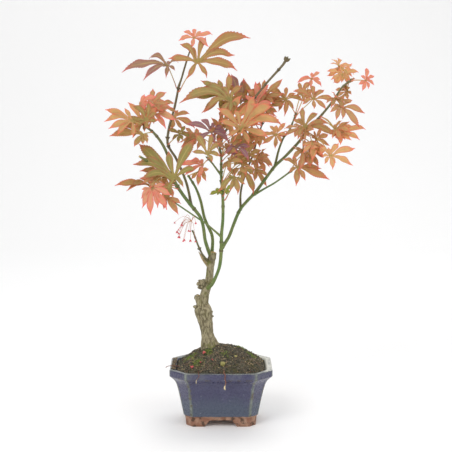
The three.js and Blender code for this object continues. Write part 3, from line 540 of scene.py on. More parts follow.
def build_shoot(name):
    rng = random.Random(name)
    middles, radii = read_rod(name)
    parent, surface, outward = nearest_wood(middles[0], but=name)
    inside = surface - outward * (radii[0] + (5 * MM if parent == "trunk" else 0)) - UP * radii[0]
    stops, points, girths = evenly(SHOOT_STEP, [inside, *middles[1:]], [radii[0] * 1.15, *radii[1:]])
    total = stops[-1]
    joints = shoot_joints(rng, JOINTS[name], total)

    def swelling(run, reach):
        return max([hump(run - joint, reach * MM) for joint in joints] or [0])

    lump = rng.uniform(0, 99)
    radii = []
    for point, girth, run in zip(points, girths, stops):
        flare = 0.25 * math.exp(-run / (5 * MM))
        wave = 0.05 * noise.noise(point * 160 + Vector((lump, 0, 0)))
        radii.append(girth * (1 + flare + wave + 0.2 * swelling(run, 1.5) + 0.12 * swelling(run, 0.45)))
    style = FREE_END.get(name, "pointed")
    if style == "pointed":
        radii[-1] *= 0.75

    def values(share):
        run = share * total
        cut = 1.0 if style == "cut" and share == 1 else 0.0
        return {"knot": max(swelling(run, 0.45), 0.55 * swelling(run, 1.5)), "cut": cut, "tone": 0.5}

    sheet = Sheet("knot", "cut", "tone")
    sheet.tube(points, radii, SHOOT_SIDES, values=values, round_end=style != "cut",
               shape=lambda share, angle: 1 + 0.04 * math.sin(3 * angle + lump + 9 * share))
    tangents = directions(points)
    for joint in joints:
        if rng.random() < 0.3:
            continue
        i = min(int(joint / total * (len(points) - 1)) + 1, len(points) - 1)
        side = turned(tangents[i].orthogonal().normalized(), tangents[i], rng.uniform(0, math.pi))
        for way in (side, -side):
            spot = points[i] + way * radii[i] * 0.85
            bud(sheet, spot, (tangents[i] + way * 0.45).normalized(), rng.uniform(1.3, 2.0) * MM, 0.2)
    if style != "cut":
        count, size = (6, 4.6 * MM) if style == "buds" else (3, 2.4 * MM)
        for k in range(count):
            lean = turned(tangents[-1].orthogonal().normalized(), tangents[-1], math.tau * k / count + lump)
            spread = 0.0 if k == 0 else 0.55
            way = (tangents[-1] + lean * spread).normalized()
            bud(sheet, points[-1] + lean * spread * girths[-1], way, size * rng.uniform(0.8, 1.1), 0.35)
    slot = SLOT_OF[name]
    sheet.finish(f"{name}_wood", [SHOOT_FINISHES[slot], BUD], [name], slot)


# ---- leaves ----

LEAF_THICK_CAD = 0.8 * MM
BLADE_THICK = 0.22 * MM
STALK_STEP = 1.6 * MM
STALK_START = 0.2 * MM
STALK_SUNK = 0.5 * MM
NOTCH_ROWS = 3
ROWS = 36
HALF_COLUMNS = 2
LOBE_KEYS = (0.0, 0.24, 0.48, 0.76, 1.0)
WIDE_GAP, STALK_GAP = math.radians(50), math.radians(140)
NOTCH_SHARE = 0.15
SAME_TURN = 1e-4
OUTLINE_KEYS = (0.0, 0.15, 0.3, 0.45, 0.6, 0.7, 0.79, 0.86, 0.92, 0.97, 1.0)
OUTLINE_WIDTHS = (0.14, 0.34, 0.62, 0.88, 1.0, 0.92, 0.66, 0.36, 0.17, 0.08, 0.0)


def find_hub(bm, around):
    """The two middle corners of a CAD leaf's star, on its upper and its lower face."""
    pairs = []
    for a, b in combinations(bm.verts, 2):
        apart = (a.co - b.co).length
        if apart > 1.1 * LEAF_THICK_CAD or b in around[a] or len(around[a]) != len(around[b]):
            continue
        if len(around[a] & around[b]) * 2 == len(around[a]):
            pairs.append((abs(apart - LEAF_THICK_CAD), a.index, b.index, a, b))
    return sorted(min(pairs)[3:], key=lambda v: v.co.y)


def follow_arm(around, before, station):
    """The rows of corners along an arm of the star, and its tip if it ends in one."""
    stations = [station]
    while True:
        t, b, l, r = stations[-1]
        before |= {t, b, l, r}
        ahead = (around[l] & around[r]) - before
        if ahead & around[t] & around[b]:
            return stations, (ahead & around[t] & around[b]).pop()
        if not ahead & around[t] or not ahead & around[b]:
            return stations, None
        t, b = (ahead & around[t]).pop(), (ahead & around[b]).pop()
        pair = (around[t] & around[b]) - before
        l, r = (next(v for v in pair if v in around[edge]) for edge in (l, r))
        stations.append((t, b, l, r))


def read_leaf(name):
    """Reads a CAD leaf's star: its hub, the way that it faces, its lobes, and the stalk."""
    bm = cad_mesh(name)
    around = neighbours(bm)
    top, bottom = find_hub(bm, around)
    hub = (top.co + bottom.co) / 2
    normal = (top.co - bottom.co).normalized()
    notches = around[top] & around[bottom]
    lobes, stalk = [], None
    for first in sorted(around[top] - notches, key=lambda v: v.index):
        sides = around[first] & notches
        twin = next(v for v in around[bottom] - notches if around[v] & notches == sides)
        edges = (around[first] & around[twin]) - notches
        left, right = (next(v for v in edges if v in around[notch]) for notch in (sides.pop(), sides.pop()))
        stations, tip = follow_arm(around, notches | {top, bottom}, (first, twin, left, right))
        line = [hub, *((t.co + b.co) / 2 for t, b, _, _ in stations)]
        if tip:
            line.append(tip.co.copy())
            _, _, left, right = stations[min(1, len(stations) - 1)]
            side = (left.co - right.co).normalized()
            if side.cross(line[2] - hub).dot(normal) < 0:
                side = -side
            lobes.append({"line": line, "side": side})
        else:
            stalk = {"line": line, "end": sum((v.co for v in stations[-1]), Vector()) / 4}
    bm.free()
    return hub, normal, lobes, stalk


def make_lobe(hub, normal, way, reach):
    droop = 0.12 * reach
    line = [hub + way * reach * key - UP * droop * key * key for key in LOBE_KEYS]
    return {"line": line, "side": way.cross(normal).normalized()}


def fill_out(rng, hub, normal, lobes):
    """Puts smaller lobes into the wide gaps, and sets the notches on both sides of every lobe."""

    def way_of(lobe):
        return lobe["line"][-1] - hub

    start = way_of(lobes[0])
    start = (start - normal * start.dot(normal)).normalized()
    across = normal.cross(start)

    def turn(lobe):
        way = way_of(lobe)
        return (math.atan2(way.dot(across), way.dot(start)) + SAME_TURN) % math.tau

    ordered = sorted(lobes, key=turn)
    full = list(ordered)
    for a, b in zip(ordered, ordered[1:] + ordered[:1]):
        gap = (turn(b) - turn(a)) % math.tau
        if gap < WIDE_GAP:
            continue
        fresh = [(a, gap / 2)] if gap < STALK_GAP else [(a, math.radians(44)), (b, -math.radians(44))]
        for lobe, angle in fresh:
            way = turned(way_of(lobe).normalized(), normal, angle)
            full.append(make_lobe(hub, normal, way, way_of(lobe).length * rng.uniform(0.55, 0.75)))
    full.sort(key=turn)
    middle = sum((way_of(lobe).normalized() for lobe in full), Vector()).normalized()
    for a, b in zip(full, full[1:] + full[:1]):
        ways = [way_of(lobe) for lobe in (a, b)]
        between = (ways[0].normalized() + ways[1].normalized()).normalized()
        depth = NOTCH_SHARE * min(way.length for way in ways)
        if (turn(b) - turn(a)) % math.tau > STALK_GAP:
            between, depth = -middle, 0.8 * MM
        a["gap_right"] = b["gap_left"] = hub + between * depth
    return full


def add_lobe(sheet, rng, hub, normal, lobe, tone):
    line, side = lobe["line"], lobe["side"]
    gaps = [lobe["gap_left"], lobe["gap_right"]]
    reach = (line[-1] - hub).length
    outward = (line[-1] - hub).normalized()
    base = min(max(sum((gap - hub).dot(outward) for gap in gaps) / 2 / reach, 0.04), 0.15)
    half = (1.1 * MM + 0.09 * reach) * rng.uniform(0.88, 1.12)
    fold, ripple, turns = rng.uniform(0.15, 0.45), rng.uniform(0.1, 0.24), rng.uniform(1.5, 3)
    bow, arch = rng.uniform(-0.06, 0.06) * reach, rng.uniform(-0.02, 0.08) * reach
    phases = [rng.uniform(0, 6.3), rng.uniform(0, 6.3)]
    curl, tooth = rng.uniform(-0.08, 0.12) * reach, rng.uniform(0.05, 0.1)
    starts = [(gap - along_curve(LOBE_KEYS, line, base)).length for gap in gaps]
    shade = min(max(tone + rng.uniform(-0.2, 0.2), 0), 1)
    rings = []
    for row in range(ROWS + 1):
        past = row - NOTCH_ROWS
        share = base * row / NOTCH_ROWS if past <= 0 else base + (1 - base) * past / (ROWS - NOTCH_ROWS)
        middle = along_curve(LOBE_KEYS, line, share)
        grown = 0 if past <= 0 else smooth_step(share, base, base + 0.14)
        middle += (side * bow + UP * arch) * math.sin(math.pi * share) ** 2 * grown
        middle += (side * 0.5 - normal) * curl * smooth_step(share, 0.75, 1.0) ** 2
        wide = half * max(along_curve(OUTLINE_KEYS, OUTLINE_WIDTHS, share), 0)
        point = past % 2
        bite = tooth * grown * (1 - smooth_step(share, 0.82, 0.95))
        ring = []
        for column in range(-HALF_COLUMNS, HALF_COLUMNS + 1):
            v = column / HALF_COLUMNS
            which = 0 if v > 0 else 1
            if past <= 0:
                spot = middle.lerp(hub.lerp(gaps[which], row / NOTCH_ROWS), abs(v))
            else:
                width = starts[which] * (1 - share) * (1 - grown) + wide * grown
                toothed = width * (1 - bite * (1 - point) * abs(v) ** 3)
                forward = reach / ROWS * 0.9 * point * abs(v) ** 3 * bite / tooth
                wave = math.sin(2 * math.pi * turns * share + phases[which])
                lift = (fold * abs(v) + ripple * wave * v * v) * width
                spot = middle + side * v * toothed + outward * forward + normal * lift * grown
            ring.append(sheet.corner(spot, along=share, across=v, tone=shade))
        rings.append(ring)
    sheet.skin(rings, closed=False)


def thicken(sheet):
    """Turns the single sheet into a thin closed blade."""
    bm = sheet.bm
    bmesh.ops.remove_doubles(bm, verts=bm.verts, dist=SAME_PLACE)
    sheet.outward()
    bm.normal_update()
    rims = [e.link_loops[0] for e in bm.edges if len(e.link_faces) == 1]
    rims = [(loop.vert, loop.link_loop_next.vert) for loop in rims]
    twins = {}
    for v in list(bm.verts):
        twins[v] = bm.verts.new(v.co - v.normal * BLADE_THICK)
        for layer in sheet.layers.values():
            twins[v][layer] = v[layer]
    for f in list(bm.faces):
        sheet.face([twins[v] for v in reversed(f.verts)])
    for a, b in rims:
        sheet.face([b, a, twins[a], twins[b]])


def finish_leaf(name, rng, hub, normal, lobes, route, finish, slot, replaced=()):
    """The blade with its lobes, and the stalk along the route from under the blade into the wood."""
    sheet = Sheet("along", "across", "tone")
    tone = rng.uniform(0.0, 1.0)
    for lobe in fill_out(rng, hub, normal, lobes):
        add_lobe(sheet, rng, hub, normal, lobe, tone)
    thicken(sheet)
    stops, points = evenly(STALK_STEP, [hub - normal * STALK_START, *route])
    total = stops[-1]
    radii = [(0.48 + 0.1 * s / total + 0.4 * math.exp((s - total) / (1.3 * MM))) * MM for s in stops]
    sheet.tube(points, radii, 8, material=1, values=lambda share: {"along": share, "tone": 0.5})
    sheet.finish(name, [LEAF_FINISHES[finish], STALK], replaced, slot)


def build_leaf(name):
    hub, normal, lobes, stalk = LEAF_SHAPES[name]
    _, surface, outward = nearest_wood(stalk["end"])
    route = [*stalk["line"][1:], surface - outward * STALK_SUNK]
    slot = SLOT_OF[name]
    finish_leaf(f"{name}_blade", random.Random(name), hub, normal, lobes, route, slot, slot, [name])


def spread_lobes(hub, facing, middle, step, reaches):
    """Lobes an even angle apart, fanned out round the middle way."""
    first = -(len(reaches) // 2)
    ways = [turned(middle, facing, step * k) for k in range(first, first + len(reaches))]
    return [make_lobe(hub, facing, way, reach) for way, reach in zip(ways, reaches)]


def build_pair(name, number):
    """A smaller leaf from the same bud as a CAD leaf, tucked in behind it towards its neighbours."""
    rng = random.Random(f"{name} {number}")
    hub, normal, lobes, stalk = LEAF_SHAPES[name]
    others = [shape[0] for key, shape in LEAF_SHAPES.items() if key != name]
    near = sorted(others, key=lambda other: (other - hub).length)[:4]
    inward = sum(near, Vector()) / len(near) - hub
    jitter = Vector((rng.uniform(-9, 9), rng.uniform(2, 20), rng.uniform(-3, 14))) * MM
    spot = hub + inward * rng.uniform(0.1, 0.6) + jitter
    usual = sum((lobe["line"][-1] - hub).length for lobe in lobes) / len(lobes)
    reach = min(max(usual, 22 * MM), 38 * MM) * rng.uniform(0.85, 1.15)
    away = (spot - stalk["end"]).normalized()
    stray = Vector((rng.uniform(-0.6, 0.6), rng.uniform(-0.5, 0.2), rng.uniform(-0.7, 0.5)))
    axis = (away * 0.7 + stray).normalized()
    facing = Vector((rng.uniform(-0.4, 0.4), -0.8, rng.uniform(0.2, 0.9)))
    facing = (facing - axis * facing.dot(axis)).normalized()
    step = math.radians(rng.uniform(34, 42))
    reaches = [reach * share * rng.uniform(0.9, 1.1) for share in (0.55, 0.85, 1.0, 0.85, 0.55)]
    fan = spread_lobes(spot, facing, axis, step, reaches)
    for lobe in fan:
        sides = zip(lobe["line"][-1], cad_low, cad_high)
        if any(not low + 2 * MM < t < high - 2 * MM for t, low, high in sides):
            return
    _, surface, outward = nearest_wood(spot.lerp(stalk["end"], 0.6))
    knee = spot.lerp(surface, 0.5) + UP * (surface - spot).length * 0.1
    slot = {"leaf_pink": "leaf_bronze", "leaf_purple": "leaf_bronze"}.get(SLOT_OF[name], SLOT_OF[name])
    route = [knee, surface - outward * STALK_SUNK]
    finish_leaf(f"{name}_pair_{number}", rng, spot, facing, fan, route, slot, slot)


def build_sprigs():
    """Two small fresh leaves that open straight from a node of the middle shoot."""
    for number, (x, z) in enumerate(((-1, 190), (1, 188))):
        near = TRUNK_FOOT + Vector((14, 0, z)) * MM
        spot = WOOD["centre_branch"].find_nearest(near)[0]
        hub = spot + Vector((2.6 * x, -1.5, 1.5)) * MM
        facing = Vector((0.2 * x, -0.9, 0.3)).normalized()
        way = Vector((0.5 * x, -0.2, 0.8 - 0.9 * (x < 0))).normalized()
        fan = spread_lobes(hub, facing, way, math.radians(-40 * x), [6.5 * MM, 13 * MM, 6.5 * MM])
        route = [hub.lerp(spot, 0.5), spot]
        finish_leaf(f"fresh_leaf_{number}", random.Random(40 + number), hub, facing, fan, route,
                    "fresh_leaf", "leaf_olive")


# ---- trunk ----

BARK_LUMPS = (
    (-12.0, -2.5, 88.5, 3.6), (-11.0, -3.5, 92.0, 2.2), (-7.8, -3.5, 89.5, 4.4), (-9.5, -2.0, 84.5, 3.6),
    (-16.6, -2.5, 62.5, 2.4), (-15.0, -3.0, 58.5, 2.4), (-14.4, -3.0, 73.0, 3.8), (-11.0, -6.0, 62.0, 2.2),
    (0.2, -0.5, 56.5, 2.8), (0.6, -1.0, 51.5, 2.6), (-4.5, -5.0, 63.0, 2.4),
)
KNOBS = (
    (0.36, -0.2, -6, 3.0, 2.0), (0.41, 0.15, -7, 3.5, 1.6), (0.33, 0.3, -6, 3.0, 1.3),
    (0.6, -0.1, -5, 2.2, 1.6), (0.66, 0.05, -5, 1.8, 1.4), (0.56, 0.2, -5, 2.0, 1.2),
    (0.7, -0.1, -4, 1.6, 1.2), (0.2, 0.1, -7, 3.0, 0.8),
)


def trunk_knobs(low, high):
    """Old bud scars and callus lumps: where, how wide and how proud in millimetres."""
    found = []
    for share, offset, out, radius, height in KNOBS:
        x = (low.x + high.x) / 2 + offset * (high.x - low.x)
        spot = Vector((x, TRUNK_FOOT.y + out * MM, SOIL_TOP + share * (high.z - SOIL_TOP)))
        found.append((WOOD["trunk"].find_nearest(spot)[0], radius * MM, height))
    return found


def build_trunk():
    """The trunk's CAD solid, softened and given bark relief, knobs, scar rings and sawn tops."""
    rough = add_object("trunk_form", nodes["trunk"].data.copy())
    remesh = rough.modifiers.new("even", "REMESH")
    remesh.mode = "VOXEL"
    remesh.voxel_size = 0.8 * MM
    soften = rough.modifiers.new("soften", "SMOOTH")
    soften.factor = 0.5
    soften.iterations = 14
    mesh = modified_mesh(rough)
    bpy.data.objects.remove(rough)
    low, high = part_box("trunk")
    knobs = trunk_knobs(low, high)
    cuts, greens = [], []
    before = [(v.co.copy(), v.normal.copy()) for v in mesh.vertices]
    for vertex, (co, out) in zip(mesh.vertices, before):
        coarse = noise.fractal(Vector((co.x * 130, co.y * 130, co.z * 45)), 1.0, 2.0, 4)
        fine = noise.fractal(Vector((co.x * 500, co.y * 500, co.z * 170)), 1.0, 2.0, 3)
        rings = math.sin(co.z * 950 + 2.5 * noise.noise(co * 60))
        push = 0.55 * coarse + 0.2 * fine + 0.1 * rings
        lift = co.z - POT_TOP
        bulge = smooth_step(lift, 28 * MM, 44 * MM) * (1 - smooth_step(lift, 60 * MM, 68 * MM))
        push += 2.2 * bulge * max(out.x, 0)
        push += sum(height * hump((co - spot).length, radius) for spot, radius, height in knobs)
        root = math.exp(-max(co.z - SOIL_TOP, 0) / (6 * MM))
        angle = math.atan2(co.y - TRUNK_FOOT.y, co.x - TRUNK_FOOT.x)
        push += root * (1.2 + 1.1 * math.sin(4 * angle + 0.7))
        sawn = out.z > 0.72 and co.z > SOIL_TOP + 30 * MM
        cuts.append(1.0 if sawn else 0.0)
        greens.append(smooth_step(co.z, SOIL_TOP + 30 * MM, high.z) * 0.8 + 0.15 + 0.5 * root)
        vertex.co = co + out * push * (0.25 if sawn else 1) * MM
    write_values(mesh, "cut", cuts)
    write_values(mesh, "green", greens)
    mesh.shade_smooth()
    place("trunk_wood", mesh, [BARK], ["trunk"], "grey_bark")


def build_bark_lumps():
    """The dead stub's tip at the trunk's top, and the lumps on the bark."""
    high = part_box("trunk")[1].z
    high_up = [v.co for v in nodes["trunk"].data.vertices if v.co.z > high - 6 * MM]
    tip = min(high_up, key=lambda co: co.x).copy()
    line = [tip + Vector(at) * MM for at in ((13, 3.6, -19), (7, 2.3, -10.5), (3.5, 1.2, -5.5), (-0.3, 0, 1))]
    _, points, girths = evenly(0.8 * MM, line, [2.4, 1.9, 1.3, 0.3])
    sheet = Sheet("cut", "green", "tone")
    sheet.tube(points, [g * MM * (1 + 0.3 * noise.noise(p * 250)) for g, p in zip(girths, points)], 10,
               shape=lambda share, angle: 1 + 0.15 * math.sin(2 * angle + 5 * share),
               values=lambda share: {"cut": 0.8 * share, "green": 0.2})
    rng = random.Random(3)
    for x, y, z, size in BARK_LUMPS:
        stone(sheet, rng, TRUNK_FOOT + Vector((x, y, z)) * MM, size * MM, 0.5, 3)
    for face in sheet.bm.faces:
        face.smooth = True
    sheet.finish("bark_lumps", [BARK], slot="grey_bark")


# ---- pot ----

COVE = (
    (12.5, 15.0), (24, 12.8), (34, 10.7), (42, 8.9), (47.5, 7.3),
    (50.5, 5.8), (53, 3.8), (55, 1.6), (56.2, 0.4), (57, 0),
)


def outline_corners(inset):
    x, y = (pot_high.x - pot_low.x) / 2 - inset, (pot_high.y - pot_low.y) / 2 - inset
    cut = CORNER_CUT - inset * (2 - math.sqrt(2))
    half = [(x - cut, -y), (x, cut - y), (x, y - cut), (x - cut, y)]
    flat = half + [(-a, -b) for a, b in half]
    return [Vector((a + POT_MIDDLE.x, b + POT_MIDDLE.y, 0)) for a, b in flat]


def outline(inset, rounding=CORNER_ROUND):
    """Points round the rounded cut-corner outline, each with its side and its share along it."""
    corners = outline_corners(inset)
    made = []
    for k in range(8):
        a, b, c = corners[k], corners[(k + 1) % 8], corners[(k + 2) % 8]
        way, turn = (b - a).normalized(), (c - b).normalized()
        start, end = a + way * rounding, b - way * rounding
        steps = SIDE_STEPS[k % 4]
        for i in range(steps + 1):
            made.append((start.lerp(end, i / steps), k, i / steps))
        for i in range(1, 4):
            t = i / 4
            bend = end * (1 - t) ** 2 + b * 2 * t * (1 - t) + (b + turn * rounding) * t * t
            made.append((bend, k, 1.0))
    return made


def wall_levels():
    """The pot's outside from the foot up, its rim, and its inside down to the floor: inset and height."""
    top, band = POT_TOP, POT_TOP - RIM_BAND
    outside = [(18.2, 0), (17.8, 0.4)]
    outside += [(17.8 - 1.0 * s, 0.4 + 9.9 * s) for s in (0.25, 0.5, 0.75, 1.0)]
    outside += [(16.4, 10.9), (15.7, 11.5), (15.2, 12.0)]
    heights, insets = zip(*COVE)
    for i in range(61):
        height = heights[0] + (heights[-1] - heights[0]) * i / 60
        outside.append((along_curve(heights, insets, height), height))
    levels = [(a * MM, b * MM) for a, b in outside]
    levels += [(0.0, band + s * (RIM_BAND - 1.4 * MM)) for s in (0.12, 0.3, 0.5, 0.7, 0.88, 1.0)]
    for a in (0.35, 0.75, 1.15, 1.57):
        levels.append(((1.4 - 1.4 * math.cos(a)) * MM, top + (1.4 * math.sin(a) - 1.4) * MM))
    levels += [(s * RIM_WALL, top - 0.25 * MM * s) for s in (0.45, 0.65, 0.82)]
    levels += [(RIM_WALL, top - 0.7 * MM), (RIM_WALL + 0.5 * MM, top - 1.8 * MM)]
    for s in (i / 8 for i in range(1, 9)):
        height = top - 1.8 * MM + (CAVITY_FLOOR - top + 1.8 * MM) * s
        levels.append((RIM_WALL + (0.5 + 13.3 * s) * MM, height))
    return levels


def panel_recess(side, share, inset, height):
    """How far the flat panel on a main side is set back at this place."""
    if side % 2 == 0:
        return 0.0
    corners = outline_corners(inset)
    length = (corners[(side + 1) % 8] - corners[side]).length
    from_side = min(share, 1 - share) * length
    top = POT_TOP - RIM_BAND - 3.4 * MM
    depth = PANEL_DEPTH * smooth_step(from_side, PANEL_MARGIN, PANEL_MARGIN + 1.2 * MM)
    depth *= smooth_step(height, FOOT_BAND + 1.2 * MM, FOOT_BAND + 2.4 * MM)
    return depth * smooth_step(top - height, 0, 0.9 * MM)


def build_pot():
    sheet = Sheet()
    rings = []
    levels = wall_levels()
    top_at = max(range(len(levels)), key=lambda i: levels[i][1])
    for n, (inset, height) in enumerate(levels):
        ring = []
        near_rim = height > POT_TOP - 3 * MM
        for spot, side, share in outline(inset, CORNER_ROUND if n <= top_at else INSIDE_ROUND):
            away = spot - POT_MIDDLE
            away.z = 0
            away.normalize()
            wobble = 0.35 * MM * noise.noise(Vector((spot.x * 22, spot.y * 22, height * 22)))
            back = panel_recess(side, share, inset, height) if n < top_at else 0
            settle = 0.5 * MM * noise.noise(Vector((spot.x * 14, spot.y * 14, 3))) if near_rim else 0
            moved = spot + away * (wobble - back)
            ring.append(sheet.corner((moved.x, moved.y, height + settle - (0.4 * MM if settle else 0))))
        rings.append(ring)
    floor_edge = [(corner.co - POT_MIDDLE).xy.to_3d() for corner in rings[-1]]
    for height, reach in ((CAVITY_FLOOR, 0.6), (CAVITY_FLOOR, 0.0), (0, 0.0)):
        spots = [(flat.normalized() * DRAIN_RADIUS).lerp(flat, reach) for flat in floor_edge]
        rings.append([sheet.corner((s.x + POT_MIDDLE.x, s.y + POT_MIDDLE.y, height)) for s in spots])
    sheet.skin([*rings, rings[0]])
    sheet.outward()
    pot = sheet.finish("pot_body", [pot_finish()], ["pot"], "glazed_pot")
    for lengthwise in (False, True):
        cut_arch(pot, lengthwise)
    shade_pot(pot.data)


def cut_arch(pot, lengthwise):
    """Cuts the gap between two feet through the foot band, from side to side."""
    sheet = Sheet()
    below, foot = -5 * MM, 0.001 * MM
    profile = (
        (-ARCH_HALF_FOOT, below), (ARCH_HALF_FOOT, below), (ARCH_HALF_FOOT, foot),
        (ARCH_HALF_TOP, FOOT_HEIGHT), (-ARCH_HALF_TOP, FOOT_HEIGHT), (-ARCH_HALF_FOOT, foot),
    )
    rings = []
    for end in (-ARCH_LONG, ARCH_LONG):
        ring = []
        for across, height in profile:
            x, y = (end, across) if lengthwise else (across, end)
            ring.append(sheet.corner((x + POT_MIDDLE.x, y + POT_MIDDLE.y, height)))
        rings.append(ring)
    sheet.skin(rings)
    for ring in rings:
        sheet.face(ring)
    sheet.outward()
    cutter = add_object("arch", sheet.mesh("arch"))
    cut = pot.modifiers.new("arch", "BOOLEAN")
    cut.operation = "DIFFERENCE"
    cut.solver = "EXACT"
    cut.object = cutter
    made = modified_mesh(pot)
    pot.modifiers.clear()
    pot.data = made
    bpy.data.objects.remove(cutter)


def inset_of(x, y):
    """How far a place lies inside the rim's cut-corner outline."""
    corners = outline_corners(0)
    found = []
    for a, b in zip(corners, corners[1:] + corners[:1]):
        way = (b - a).normalized()
        found.append(way.x * (y - a.y) - way.y * (x - a.x))
    return min(found)


def shade_pot(mesh):
    """Gives each place its height, glaze and thin edge values, its wear with a painted highlight, and its
    stains with a painted shadow line.
    """
    heights, insets = zip(*COVE)
    values = {name: [] for name in ("height", "glaze", "thin", "wear_and_highlight", "stain_and_shade")}
    for vertex in mesh.vertices:
        x, y, z = vertex.co
        inset = along_curve(heights, insets, min(max(z / MM, heights[0]), heights[-1])) * MM
        ridge = hump(min((Vector((x, y, 0)) - c).length for c in outline_corners(inset)), 2.6 * MM)
        inside = smooth_step(inset_of(x, y), RIM_WALL - 1.5 * MM, RIM_WALL) if z > POT_TOP - RIM_BAND else 0
        lip = hump(z - POT_TOP + 0.5 * MM, 0.9 * MM)
        # A painted shadow line just under the rim band.
        under = hump(z - heights[-2] * MM, 0.9 * MM) * (1 - inside)
        band = smooth_step(z, heights[-2] * MM, heights[-1] * MM) * (1 - inside)
        # Grows towards the back right, where the rim's painted highlight is strongest.
        back = smooth_step(x - POT_MIDDLE.x + 0.5 * (y - POT_MIDDLE.y), 10 * MM, 45 * MM)
        values["height"].append((z - FOOT_BAND) / (POT_TOP - FOOT_BAND))
        values["glaze"].append(smooth_step(z, FOOT_BAND - 1.1 * MM, FOOT_BAND + 0.9 * MM))
        values["thin"].append(max(0.85 * ridge, 0.75 * lip, 0.45 * band))
        # Wear on the inner rim and lip, plus a painted highlight that grows towards the back right.
        values["wear_and_highlight"].append(inside * (0.4 + 0.6 * back) + 0.75 * lip * back)
        # Real stains near the ridges below the band, and the painted shadow line under the band.
        values["stain_and_shade"].append(max(1.1 * ridge * (z < heights[-2] * MM), 0.9 * under))
    for name, column in values.items():
        write_values(mesh, name, column)
    mesh.shade_smooth()


# ---- soil and what lies on it ----

SOIL_RINGS = 80


def from_trunk(x, y):
    return Vector((x - TRUNK_FOOT.x, y - TRUNK_FOOT.y, 0))


def edge_reach(flat):
    """How far the soil goes from the trunk in a direction."""
    way = flat.normalized()
    best = 1.0
    corners = [corner - TRUNK_FOOT for corner in outline_corners(SOIL_INSET)]
    for a, b in zip(corners, corners[1:] + corners[:1]):
        side = b - a
        cross = way.x * side.y - way.y * side.x
        if abs(cross) < 1e-12:
            continue
        t = (a.x * side.y - a.y * side.x) / cross
        if t > 0:
            best = min(best, t)
    return best


def soil_height(x, y):
    """The mound's height over a place, without its crumbs."""
    edge = POT_TOP - SOIL_EDGE
    rise = SOIL_TOP - edge - 1 * MM
    flat = from_trunk(x, y)
    if flat.length < SAME_PLACE:
        return edge + rise
    way = flat.normalized()
    share = min(flat.length / edge_reach(flat), 1)
    return edge + rise * (1 - share ** (1.7 + 0.55 * way.x + 0.3 * way.y))


def ground(x, y, above=0.0):
    """The place on the mound's crumbs, or the given height above them."""
    spot = Vector((x, y, 0))
    lumps = 0.9 * noise.fractal(spot * 120, 1.0, 2.0, 3) + 0.75 * abs(noise.noise(spot * 420))
    return Vector((x, y, soil_height(x, y) + (lumps + 0.4 * noise.noise(spot * 900)) * MM + above))


def build_soil():
    sheet = Sheet()
    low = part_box("soil")[0].z + 0.2 * MM
    centre = Vector((TRUNK_FOOT.x, TRUNK_FOOT.y, 0))
    rim = [spot for spot, _, _ in outline(SOIL_INSET, INSIDE_ROUND)]
    rings = []
    for n in range(1, SOIL_RINGS + 1):
        spots = [centre.lerp(spot, n / SOIL_RINGS) for spot in rim]
        rings.append([sheet.corner(ground(spot.x, spot.y)) for spot in spots])
    for share in (0.35, 0.7, 1.0):
        level = POT_TOP - SOIL_EDGE - (POT_TOP - SOIL_EDGE - low) * share
        inner = outline(SOIL_INSET + SOIL_TAPER * share, INSIDE_ROUND)
        rings.append([sheet.corner((s.x, s.y, level)) for s, _, _ in inner])
    sheet.skin(rings)
    for ring, height in ((rings[0], soil_height(centre.x, centre.y)), (rings[-1], low)):
        sheet.fan(ring, sheet.corner((centre.x, centre.y, height)))
    sheet.outward()
    sheet.finish("soil_mound", [soil_finish()], ["soil"], "soil")


def on_soil(rng, reach=0.97, centre=None, spread=None):
    """A random place on the mound, over all of it or close round a centre."""
    while True:
        if centre:
            x, y = rng.gauss(centre[0], spread), rng.gauss(centre[1], spread)
        else:
            x, y = rng.uniform(pot_low.x, pot_high.x), rng.uniform(pot_low.y, pot_high.y)
        flat = from_trunk(x, y)
        if 8 * MM < flat.length < reach * edge_reach(flat):
            return ground(x, y)


def stone(sheet, rng, at, size, tone, detail=1):
    made = bmesh.ops.create_icosphere(sheet.bm, subdivisions=detail, radius=size)
    stretch = Vector((rng.uniform(0.7, 1.3), rng.uniform(0.7, 1.3), rng.uniform(0.5, 0.9)))
    shift = Vector((rng.uniform(0, 99), 0, 0))
    for v in made["verts"]:
        v.co = at + v.co * stretch * (1 + 0.35 * noise.noise(v.co / size * 1.2 + shift))
        v[sheet.layers["tone"]] = tone


def build_grit():
    for name, seed, count, small, large, dark, light in (
        ("soil_grit", 5, 1500, 0.35, 1.1, "2a2620", "68624f"),
        ("soil_flecks", 6, 260, 0.3, 0.8, "8a7450", "cbb588"),
        ("soil_red_bits", 7, 150, 0.3, 0.8, "4d2f22", "85543c"),
    ):
        rng = random.Random(seed)
        sheet = Sheet("tone")
        for _ in range(count):
            size = rng.uniform(small, large) * MM
            detail = 1 if size < 0.9 * MM else 2
            stone(sheet, rng, on_soil(rng) + UP * size * 0.25, size, rng.random(), detail)
        sheet.outward()
        sheet.finish(name, [grain_finish(name, dark, light)], slot="soil")
    rng = random.Random(8)
    dust = Sheet("tone")
    for _ in range(220):
        x = pot_low.x + rng.uniform(2, 6.5) * MM
        at = Vector((x, POT_MIDDLE.y + rng.uniform(-24, 24) * MM, POT_TOP + 0.1 * MM))
        size = rng.uniform(0.25, 0.8) * MM
        stone(dust, rng, at, size, rng.random())
    dust.finish("rim_dust", [grain_finish("rim_dust", "3b3226", "8a7658")], slot="soil")
    pebbles = Sheet("tone")
    for x, y, size in ((2, -26, 3.2), (-31, -10, 1.8), (20, 20, 2.0), (16, -16, 1.5)):
        x, y = POT_MIDDLE.x + x * MM, POT_MIDDLE.y + y * MM
        at = Vector((x, y, soil_height(x, y) + size * 0.35 * MM))
        stone(pebbles, rng, at, size * MM, rng.random(), 3)
    pebbles.finish("pebbles", [grain_finish("pebble", "77733c", "b0a765", 0.7)], slot="soil")


